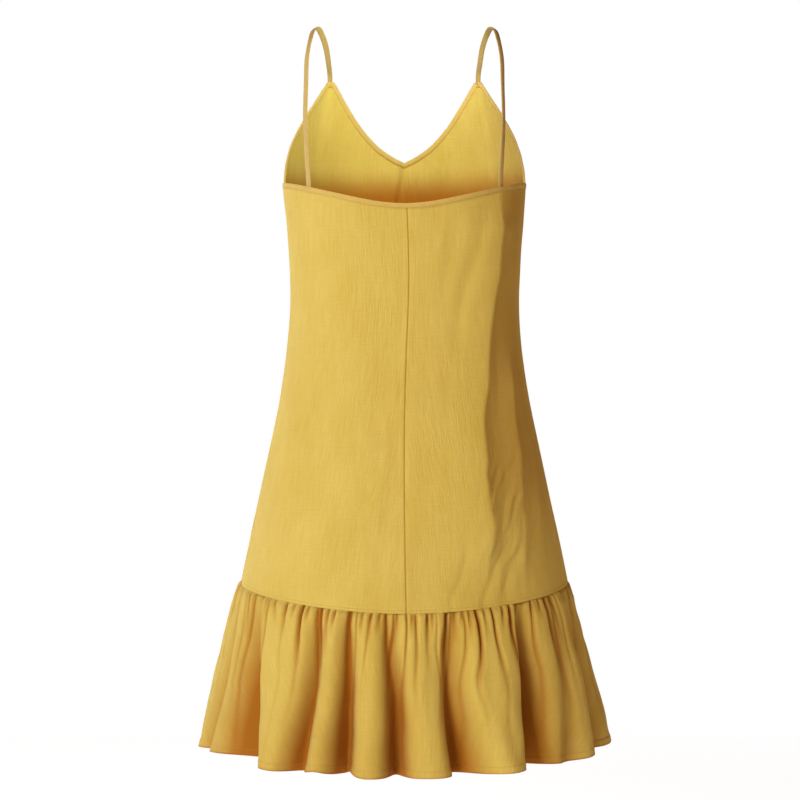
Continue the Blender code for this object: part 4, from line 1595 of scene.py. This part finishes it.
@dataclass
class Tier:
    """The gathered tier, in a back width and a front width."""

    form: TierForm
    finish: ClothFinish
    thickness: float = 0.0010
    rows: tuple[int, int, int] = (24, 29, 15)
    row_ends: tuple[float, float, float, float] = (-0.001, 0.12, 0.93, 1.0)
    columns: int = 640
    seam_gap: float = 0.00008
    seam_radius: float = 0.2
    side: Relief = Relief(roll=0.0009, reach=0.0012)
    hem: Relief = Relief(line=HEM_TURN, line_depth=0.0003, line_width=0.001, band=HEM_TURN, band_rise=0.0004)

    def width(self, name: str, start: float) -> bpy.types.Object:
        """One width of the tier, from side seam to side seam.

        Args:
            name: the piece's name.
            start: the angle of its first side seam.

        Returns:
            The piece.
        """
        gap = self.seam_gap / self.seam_radius
        angles = self.form.columns(start + gap, start + math.pi - gap, self.columns)
        spans = zip(self.row_ends, self.row_ends[1:], self.rows)
        share = np.concatenate([np.linspace(*span)[1 if number else 0:] for number, span in enumerate(spans)])
        angle = np.broadcast_to(angles, (len(share), len(angles))).copy()[::-1]
        share = np.broadcast_to(share[::-1, None], angle.shape).copy()
        shade = self.form.shade(angle, np.maximum(share, 0))
        sheet = Sheet(self.form.point(angle, share), self.thickness, shade)
        sheet.relieve(self.hem, self.side, self.side)
        return ride(sheet.build("shown_" + name, self.finish), "cloth", name)

    def build(self) -> dict[str, bpy.types.Object]:
        """Makes both widths."""
        return {
            "ruffle_back": self.width("ruffle_back", -SIDE_ANGLE),
            "ruffle_front": self.width("ruffle_front", SIDE_ANGLE),
        }


@dataclass
class Bindings:
    """The folded bias strips along the V, the armholes and the back."""

    form: BodyForm
    edges: Edges
    finish: ClothFinish
    thickness: float = 0.0023
    sides: int = 16
    squareness: float = 0.55
    pitch: float = 0.0016
    radius: float = 0.14
    fewest: int = 8
    gap: float = 0.0010
    pucker: float = 0.00016
    pucker_length: float = 0.004

    def strip(self, name: str, angles: Array, edge: Edge, cap: bool) -> bpy.types.Object:
        """One strip, as a rounded flat tube along an edge.

        Args:
            name: the piece's name.
            angles: the angles at which its sections stand.
            edge: the edge that it covers.
            cap: whether it is cut off level at the strap point.

        Returns:
            The piece.
        """
        high = self.edges.capped(edge)(angles) if cap else edge(angles)
        low = self.edges.under(edge, BINDING_WIDTH)(angles)
        top, bottom = self.form.point(angles, high), self.form.point(angles, low)
        middle, reach = (top + bottom) / 2, (top - bottom) / 2
        out = self.form.outward(angles, (high + low) / 2)
        length = distance_along(middle)
        wobble = 1 + self.pucker / self.thickness * 2 * Noise(5.0).at(length / self.pucker_length, 0 * length)
        wide, thick = oval(self.sides, 0.0, self.squareness, self.squareness)
        thick = thick * self.thickness / 2
        points = (middle[:, None] + wide[None, :, None] * reach[:, None]
                  + thick[None, :, None] * out[:, None] * wobble[:, None, None])
        return ride(tube("shown_" + name, points, self.finish), "binding", name)

    def angles(self, start: float, end: float) -> Array:
        """Angles at an even spacing along the cloth."""
        return np.linspace(start, end, max(self.fewest, int(abs(end - start) * self.radius / self.pitch)))

    def build(self) -> dict[str, bpy.types.Object]:
        """Makes all four strips.

        Returns:
            The pieces by name.
        """
        apex, gap, edges = self.edges.apex(), self.gap, self.edges
        back = self.angles(-SIDE_ANGLE + gap, SIDE_ANGLE - gap)
        neck = self.angles(apex + gap, TURN - apex - gap)
        right = self.angles(SIDE_ANGLE + gap, apex - gap)
        rows = (
            ("back_neck_binding", back, edges.back_neck, False),
            ("neck_binding", neck, edges.neck, True),
            ("armhole_binding_right", right, edges.armhole, True),
            ("armhole_binding_left", (TURN - right)[::-1], edges.armhole, True),
        )
        return {row[0]: self.strip(*row) for row in rows}


def oval(sides: int, lead: float, wide: float, thick: float) -> tuple[Array, Array]:
    """The section of a flat tube: an ellipse where its powers are 1, and squarer where they are less.

    Args:
        sides: how many sides it has.
        lead: where its first point stands, as a share of a side.
        wide: the power of its wide axis.
        thick: the power of its thin axis.

    Returns:
        Its points' places on the two axes, from -1 to 1.
    """
    turns = TURN * (np.arange(sides) + lead) / sides
    across, out = np.cos(turns), np.sin(turns)
    return np.sign(across) * np.abs(across) ** wide, np.sign(out) * np.abs(out) ** thick


def tube(name: str, points: Array, finish: ClothFinish, shade: float | Array = 0.0) -> bpy.types.Object:
    """Makes a closed tube of cloth from its sections, with its threads on the bias.

    Args:
        name: the piece's name.
        points: sections, points round each, 3.
        finish: what it is made of.
        shade: how deep the painted shade lies on each section.

    Returns:
        The piece.
    """
    sections, sides = points.shape[:2]
    index = np.arange(sections * sides).reshape(sections, sides)
    after = np.roll(index, -1, axis=1)
    walls = np.stack([index[:-1], after[:-1], after[1:], index[1:]], axis=-1).reshape(-1, 4)
    caps = []
    for row, flip in ((index[0], True), (index[-1], False)):
        for k in range(sides // 2 - 1):
            quad = [row[k], row[k + 1], row[sides - 2 - k], row[sides - 1 - k]]
            caps.append(quad[::-1] if flip else quad)
    faces = np.concatenate([walls, np.array(caps)])
    middle = points.mean(axis=1)
    round_it = np.linalg.norm(points - middle[:, None], axis=-1).mean() * TURN * np.arange(sides) / sides
    u, v = np.meshgrid(round_it, distance_along(middle))
    cosine, sine = math.cos(BIAS), math.sin(BIAS)
    grain = np.stack([u * cosine - v * sine, u * sine + v * cosine], axis=-1)
    shades = np.repeat(np.broadcast_to(shade, (sections,)), sides)
    mesh = new_mesh(name, points.reshape(-1, 3), faces, grain.reshape(-1, 2), shades, SHARP_TUBE)
    return new_piece(name, mesh, finish.material())


@dataclass
class Straps:
    """The two thin tubes of cloth over the shoulders."""

    form: BodyForm
    edges: Edges
    finish: ClothFinish
    width: float = 0.0070
    thickness: float = 0.0022
    sections: int = 150
    sides: int = 16
    wide_power: float = 0.60
    thick_power: float = 0.85
    wobble: float = 0.05
    wobble_cells: float = 16.0
    gap: float = 0.0006
    binding: float = 0.0024
    lap: float = 0.0080
    rise: float = 0.0060
    tip_lap: float = 0.0030
    turn: float = 0.0500
    # Painted shade on the front part of each strap, where it faces inwards
    front_shade: float = 0.55
    front_share: float = 0.50
    front_reach: float = 0.12
    back_angle: float = 57.4
    shoulder: tuple[float, float] = (0.0500, -0.1200)
    twist: dict[int, float] = field(default_factory=lambda: {1: 12.0, -1: 4.0})
    twist_share: float = 0.62

    def back_seat(self, above: float, side: int) -> tuple[Array, Array]:
        """A point just inside the back binding, and the way out there.

        Args:
            above: how far above the edge it is.
            side: 1 on the right, -1 on the left.

        Returns:
            The point and the way.
        """
        angle = np.array([math.radians(side * self.back_angle)])
        height = self.edges.back_neck(angle) + above
        out = self.form.outward(angle, height)[0]
        depth = self.binding / 2 + self.gap + self.thickness / 2
        return self.form.point(angle, height)[0] - out * depth, out

    def front_seat(self, above: float, side: int) -> tuple[Array, Array]:
        """A point over the middle of the flat tip of a strap point, and the way out there.

        Args:
            above: how far above the tip it is.
            side: 1 on the right, -1 on the left.

        Returns:
            The point and the way.
        """
        angle, height = np.array([side * self.edges.apex()]), np.array([TIP_HEIGHT])
        return self.form.point(angle, height)[0] + (0, 0, above), self.form.outward(angle, height)[0]

    def line(self, side: int) -> tuple[Array, Array]:
        """The middle line of a strap and the way its flat side faces, from back to front.

        Args:
            side: 1 on the right, -1 on the left.

        Returns:
            The points and the ways.
        """
        lap, back_out = self.back_seat(-self.lap, side)
        edge, _ = self.back_seat(self.rise, side)
        tip, front_out = self.front_seat(-self.tip_lap, side)
        over, _ = self.front_seat(self.rise, side)
        points = np.array([lap, edge, *(np.array(STRAP_PATH) * (side, 1, 1)), over, tip])
        length = distance_along(points)
        at = np.linspace(0, length[-1], self.sections)
        line = np.stack([smooth_curve(length, points[:, axis], at) for axis in range(3)], axis=1)
        shoulder = np.array([side * self.shoulder[0], 0, self.shoulder[1]])
        near_back = np.clip(1 - (at - self.lap) / self.turn, 0, 1)[:, None]
        near_front = np.clip(1 - (at[-1] - at) / self.turn, 0, 1)[:, None]
        away = unit(line - shoulder) * (1 - near_back) * (1 - near_front)
        return line, away + back_out * near_back + front_out * near_front

    def strap(self, name: str, side: int) -> bpy.types.Object:
        """One strap.

        Args:
            name: the piece's name.
            side: 1 on the right, -1 on the left.

        Returns:
            The piece.
        """
        line, facing = self.line(side)
        tangent = unit(np.gradient(line, axis=0))
        out = unit(facing - tangent * (facing * tangent).sum(axis=1, keepdims=True))
        edge = np.cross(tangent, out)
        share = np.linspace(0, 1, self.sections)
        bow = np.sin(math.pi * np.clip(share / self.twist_share, 0, 1)) ** 2
        twist = math.radians(self.twist[side]) * bow[:, None]
        facing = out * np.cos(twist) + edge * np.sin(twist)
        edge = edge * np.cos(twist) - out * np.sin(twist)
        wide, thick = oval(self.sides, 0.5, self.wide_power, self.thick_power)
        wobble = 1 + self.wobble * Noise(side + 12.0, 1).at(share * self.wobble_cells, 0 * share)
        points = (line[:, None] + wide[None, :, None] * self.width / 2 * edge[:, None] * wobble[:, None, None]
                  + thick[None, :, None] * self.thickness / 2 * facing[:, None])
        # Painted shade that deepens towards the front end of the strap
        shade = self.front_shade * smooth_step((share - self.front_share) / self.front_reach)
        return ride(tube("shown_" + name, points, self.finish, shade), "binding", name)

    def build(self) -> dict[str, bpy.types.Object]:
        """Makes both straps."""
        return {"strap_right": self.strap("strap_right", 1), "strap_left": self.strap("strap_left", -1)}


class Stitch(NamedTuple):
    """The sizes of a line of stitches: from one to the next, each one's length, and the thread."""

    pitch: float
    length: float
    thread: float


class StitchTree(Board):
    """Geometry nodes that lay stitches along the edges of a mesh line."""

    SEED = 4
    BALL = {"Segments": 8, "Rings": 5, "Radius": 0.5}
    SPREAD = (0.85, 1.1)
    INPUTS = {"Pitch": "Float", "Length": "Float", "Thread": "Float", "Seed": "Int"}

    def __init__(self, finish: ThreadFinish) -> None:
        """Builds the tree.

        Args:
            finish: what the stitches are made of.
        """
        super().__init__(bpy.data.node_groups.new("stitches", "GeometryNodeTree"))
        face = self.tree.interface
        face.new_socket("Geometry", in_out="INPUT", socket_type="NodeSocketGeometry")
        self.sockets = {
            name: face.new_socket(name, in_out="INPUT", socket_type="NodeSocket" + kind).identifier
            for name, kind in self.INPUTS.items()
        }
        face.new_socket("Geometry", in_out="OUTPUT", socket_type="NodeSocketGeometry")
        entry = self.add("NodeGroupInput", {}, {})
        given = {name: Wire(self, entry.outputs[name]) for name in ("Geometry", *self.INPUTS)}
        curve = self.node("GeometryNodeMeshToCurve", {}, {"Mesh": given["Geometry"]})
        even = self.node("GeometryNodeResampleCurve", {"mode": "LENGTH"},
                         {"Curve": curve, "Length": given["Pitch"]})
        ball = self.node("GeometryNodeMeshUVSphere", {}, self.BALL)
        sizes = {"X": given["Thread"], "Y": given["Thread"], "Z": given["Length"]}
        shape = self.node("ShaderNodeCombineXYZ", {}, sizes)
        stitch = self.node("GeometryNodeTransform", {}, {"Geometry": ball, "Scale": shape})
        along = self.node("GeometryNodeInputTangent", {}, {})
        turned = self.node("FunctionNodeAlignRotationToVector", {"axis": "Z"}, {"Vector": along})
        spread = {2: self.SPREAD[0], 3: self.SPREAD[1], "Seed": given["Seed"]}
        uneven = self.node("FunctionNodeRandomValue", {"data_type": "FLOAT"}, spread, 1)
        laid = self.node("GeometryNodeInstanceOnPoints", {},
                         {"Points": even, "Instance": stitch, "Rotation": turned, "Scale": uneven})
        real = self.node("GeometryNodeRealizeInstances", {}, {"Geometry": laid})
        smooth = self.node("GeometryNodeSetShadeSmooth", {}, {"Geometry": real})
        made = self.node("GeometryNodeSetMaterial", {}, {"Geometry": smooth, "Material": finish.material()})
        self.add("NodeGroupOutput", {}, {0: made})

    def lay(self, name: str, lines: Sequence[Array], stitch: Stitch) -> bpy.types.Object:
        """Lays stitches along lines, as one piece.

        Args:
            name: the piece's name.
            lines: the points of each line.
            stitch: the sizes of its stitches.

        Returns:
            The piece.
        """
        edges, start = [], 0
        for line in lines:
            edges += [(start + k, start + k + 1) for k in range(len(line) - 1)]
            start += len(line)
        guide = bpy.data.meshes.new(name + "_line")
        guide.from_pydata(np.concatenate(lines).tolist(), edges, [])
        carrier = bpy.data.objects.new(name + "_line", guide)
        bpy.context.scene.collection.objects.link(carrier)
        modifier = carrier.modifiers.new("stitches", "NODES")
        modifier.node_group = self.tree
        for socket, value in zip(self.sockets.values(), (*stitch, self.SEED)):
            modifier[socket] = value
        bpy.context.view_layer.update()
        shown = carrier.evaluated_get(bpy.context.evaluated_depsgraph_get())
        mesh = bpy.data.meshes.new_from_object(shown)
        bpy.data.objects.remove(carrier)
        mesh.name = name
        piece = bpy.data.objects.new(name, mesh)
        bpy.context.scene.collection.objects.link(piece)
        return ride(piece, "binding")


@dataclass
class Stitching:
    """Every line of stitches that shows."""

    form: BodyForm
    edges: Edges
    tier: TierForm
    tree: StitchTree
    seam: Stitch = Stitch(0.0030, 0.0023, 0.00042)
    hem: Stitch = Stitch(0.0032, 0.0024, 0.00040)
    binding: Stitch = Stitch(0.0024, 0.0018, 0.00036)
    bar: Stitch = Stitch(0.0011, 0.0013, 0.00050)
    seam_lift: float = 0.00042
    hem_lift: float = 0.00062
    binding_lift: float = 0.00098
    bar_lift: float = 0.00125
    tier_depth: float = 0.205
    binding_share: float = 0.80
    tip_room: float = 0.03
    bar_half_turn: float = 0.028
    bar_drops: tuple[float, float] = (0.0014, 0.0038)
    seam_points: int = 1400
    hem_points: int = 2600
    binding_points: int = 500
    bar_points: int = 12

    def on_body(self, angles: Array, heights: Array, lift: float) -> Array:
        """Points just outside the body's cloth."""
        return self.form.point(angles, heights) + self.form.outward(angles, heights) * lift

    def seam_line(self) -> bpy.types.Object:
        """The line stitched just over the seam of the tier.

        Returns:
            The piece.
        """
        angles = np.linspace(-SIDE_ANGLE, 3 * SIDE_ANGLE, self.seam_points)
        line = self.on_body(angles, self.edges.seam(angles) + SEAM_STITCH_RISE, self.seam_lift)
        return self.tree.lay("seam_stitches", [line], self.seam)

    def hem_line(self) -> bpy.types.Object:
        """The line that holds the turned hem.

        Returns:
            The piece.
        """
        angles = self.tier.columns(-SIDE_ANGLE, 3 * SIDE_ANGLE, self.hem_points)
        points = self.tier.point(angles, np.full(angles.shape, 1 - HEM_TURN / self.tier_depth))
        out = level_out(np.gradient(points, axis=0))
        return self.tree.lay("hem_stitches", [points + out * self.hem_lift], self.hem)

    def binding_lines(self) -> bpy.types.Object:
        """The line close to the lower edge of each binding.

        Returns:
            The piece.
        """
        first, last = self.edges.apex() - self.tip_room, self.edges.apex() + self.tip_room
        lines = []
        for edge, start, end in (
            (self.edges.back_neck, -SIDE_ANGLE, SIDE_ANGLE),
            (self.edges.neck, last, TURN - last),
            (self.edges.armhole, SIDE_ANGLE, first),
            (self.edges.armhole, TURN - first, 3 * SIDE_ANGLE),
        ):
            angles = np.linspace(start, end, self.binding_points)
            heights = self.edges.under(edge, BINDING_WIDTH * self.binding_share)(angles)
            lines.append(self.on_body(angles, heights, self.binding_lift))
        return self.tree.lay("binding_stitches", lines, self.binding)

    def strap_bars(self, straps: Straps) -> bpy.types.Object:
        """The short bars that hold each strap to the back binding.

        Args:
            straps: the straps.

        Returns:
            The piece.
        """
        lines = []
        for side in (1, -1):
            middle = math.radians(side * straps.back_angle)
            angles = middle + np.linspace(-self.bar_half_turn, self.bar_half_turn, self.bar_points)
            for drop in self.bar_drops:
                lines.append(self.on_body(angles, self.edges.back_neck(angles) - drop, self.bar_lift))
        return self.tree.lay("strap_bar_stitches", lines, self.bar)

    def build(self, straps: Straps) -> dict[str, bpy.types.Object]:
        """Makes every line."""
        return {
            "seam": self.seam_line(),
            "hem": self.hem_line(),
            "binding": self.binding_lines(),
            "bars": self.strap_bars(straps),
        }


class Lamp(NamedTuple):
    """A soft square light and the point that it faces."""

    name: str
    place: tuple[float, float, float]
    size: float
    power: float
    colour: tuple[float, float, float]
    target: tuple[float, float, float] = (0.0, 0.0, -0.45)


@dataclass
class Studio:
    """The floor, the lights and the camera."""

    scale: float = 0.00122
    camera_distance: float = 3.0
    camera_height: float = -0.4545
    middle_pixel: float = 404.3
    pixels: int = 800
    sensor: float = 36.0
    fill: Colour = (1.0, 0.50, 0.26, 1.0)
    fill_strength: float = 0.30
    floor_height: float = -1.40
    floor_radius: float = 6.0
    floor_sides: int = 64
    floor_fade: tuple[float, float] = (1.2, 4.5)
    floor_colour: Colour = (0.48, 0.52, 0.54, 1.0)
    floor_roughness: float = 0.9
    floor_glow: float = 0.72
    lamps: tuple[Lamp, ...] = (
        Lamp("key", (-1.75, -2.55, 0.70), 1.2, 80.0, (1.0, 0.985, 0.95)),
        Lamp("left", (-3.0, -0.2, 0.20), 1.4, 15.0, (0.50, 0.90, 2.10)),
        Lamp("neck", (0.075, -0.090, -0.050), 0.12, 0.66, (0.86, 1.0, 0.92), (-0.200, -0.005, -0.080)),
        Lamp("far", (-1.9, 2.9, 0.70), 1.8, 70.0, (1.0, 0.99, 0.97)),
    )

    def camera(self) -> None:
        """The camera at the photograph's view, level and square to the back."""
        data = bpy.data.cameras.new("camera")
        data.sensor_width = self.sensor
        data.lens = self.sensor * self.camera_distance / (self.pixels * self.scale)
        camera = bpy.data.objects.new("camera", data)
        across = (self.pixels / 2 - self.middle_pixel) * self.scale
        camera.location = (across, -self.camera_distance, self.camera_height)
        camera.rotation_euler = (math.pi / 2, 0, 0)
        bpy.context.scene.collection.objects.link(camera)
        bpy.context.scene.camera = camera

    def light(self, lamp: Lamp) -> None:
        """One soft light.

        Args:
            lamp: its place, size, power and colour.
        """
        data = bpy.data.lights.new(lamp.name, "AREA")
        data.size = lamp.size
        data.energy = lamp.power
        data.color = lamp.colour
        light = bpy.data.objects.new(lamp.name, data)
        way = np.array(lamp.target) - np.array(lamp.place)
        tilt = math.acos(-way[2] / np.linalg.norm(way))
        light.location = lamp.place
        light.rotation_euler = (tilt, 0, math.atan2(way[1], way[0]) - math.pi / 2)
        light.visible_camera = False
        bpy.context.scene.collection.objects.link(light)

    def world(self) -> None:
        """A pale room: white to look at, and a warm dim fill on the cloth."""
        world = bpy.data.worlds.new("room")
        world.use_nodes = True
        board = Board(world.node_tree)
        seen = board.node("ShaderNodeLightPath", {}, {}, "Is Camera Ray")
        backdrop = board.tree.nodes["Background"]
        board.feed(backdrop.inputs["Color"], WHITE)
        fill = board.node("ShaderNodeBackground", {}, {"Color": self.fill, "Strength": self.fill_strength})
        white = Wire(board, backdrop.outputs[0])
        both = board.node("ShaderNodeMixShader", {}, {0: seen, 1: fill, 2: white})
        board.feed(board.tree.nodes["World Output"].inputs[0], both)
        bpy.context.scene.world = world

    def floor(self) -> None:
        """A pale round floor that fades into the room."""
        turns = TURN * np.arange(self.floor_sides) / self.floor_sides
        flat = self.floor_radius * np.stack([np.cos(turns), np.sin(turns), 0 * turns], axis=1)
        mesh = bpy.data.meshes.new("floor")
        mesh.from_pydata((flat + (0, 0, self.floor_height)).tolist(), [], [tuple(range(self.floor_sides))])
        board = Surface("floor")
        place = board.node("ShaderNodeTexCoord", {}, {}, "Object")
        level = board.stretched(place, (1.0, 1.0, 0.0))
        away = board.node("ShaderNodeVectorMath", {"operation": "LENGTH"}, {0: level}, "Value")
        ends = {"Value": away, "From Min": self.floor_fade[0], "From Max": self.floor_fade[1]}
        fade = board.node("ShaderNodeMapRange", {"interpolation_type": "SMOOTHSTEP"}, ends)
        material = board.dress({
            "Base Color": self.floor_colour,
            "Roughness": self.floor_roughness,
            "Emission Color": WHITE,
            "Emission Strength": self.floor_glow,
        })
        shown = Wire(board, board.tree.nodes["Principled BSDF"].outputs[0])
        clear = board.node("ShaderNodeBsdfTransparent", {}, {})
        both = board.node("ShaderNodeMixShader", {}, {0: fade, 1: shown, 2: clear})
        board.feed(board.tree.nodes["Material Output"].inputs[0], both)
        new_piece("floor", mesh, material)

    def build(self) -> None:
        """Sets up the room."""
        bpy.context.scene.view_settings.view_transform = "Standard"
        self.camera()
        self.world()
        self.floor()
        for lamp in self.lamps:
            self.light(lamp)


def main() -> None:
    """Builds the dress and its room."""
    logging.basicConfig(level=logging.INFO, format="%(message)s")
    cloth = ClothFinish()
    # The binding and strap finishes are darker copies of the cloth's colour, painted darker to stand for
    # shade on the narrow strips
    binding = ClothFinish(name="woven_binding", light=(0.600, 0.430, 0.118, 1.0),
                          deep=(0.565, 0.396, 0.099, 1.0), bump=0.00012, sheen=0.05)
    strapping = ClothFinish(name="woven_strap", light=(0.550, 0.405, 0.140, 1.0),
                            deep=(0.505, 0.365, 0.118, 1.0), painted_shade_colour=(0.290, 0.185, 0.045, 1.0),
                            bump=0.00012, sheen=0.05)
    form = BodyForm()
    edges = Edges(form)
    tier = TierForm(form, edges)
    straps = Straps(form, edges, strapping)
    pieces = Body(form, edges, cloth).build()
    pieces |= Tier(tier, cloth).build()
    pieces |= Bindings(form, edges, binding).build()
    pieces |= straps.build()
    pieces |= Stitching(form, edges, tier, StitchTree(ThreadFinish())).build(straps)
    Studio().build()


if __name__ == "__main__":
    main()
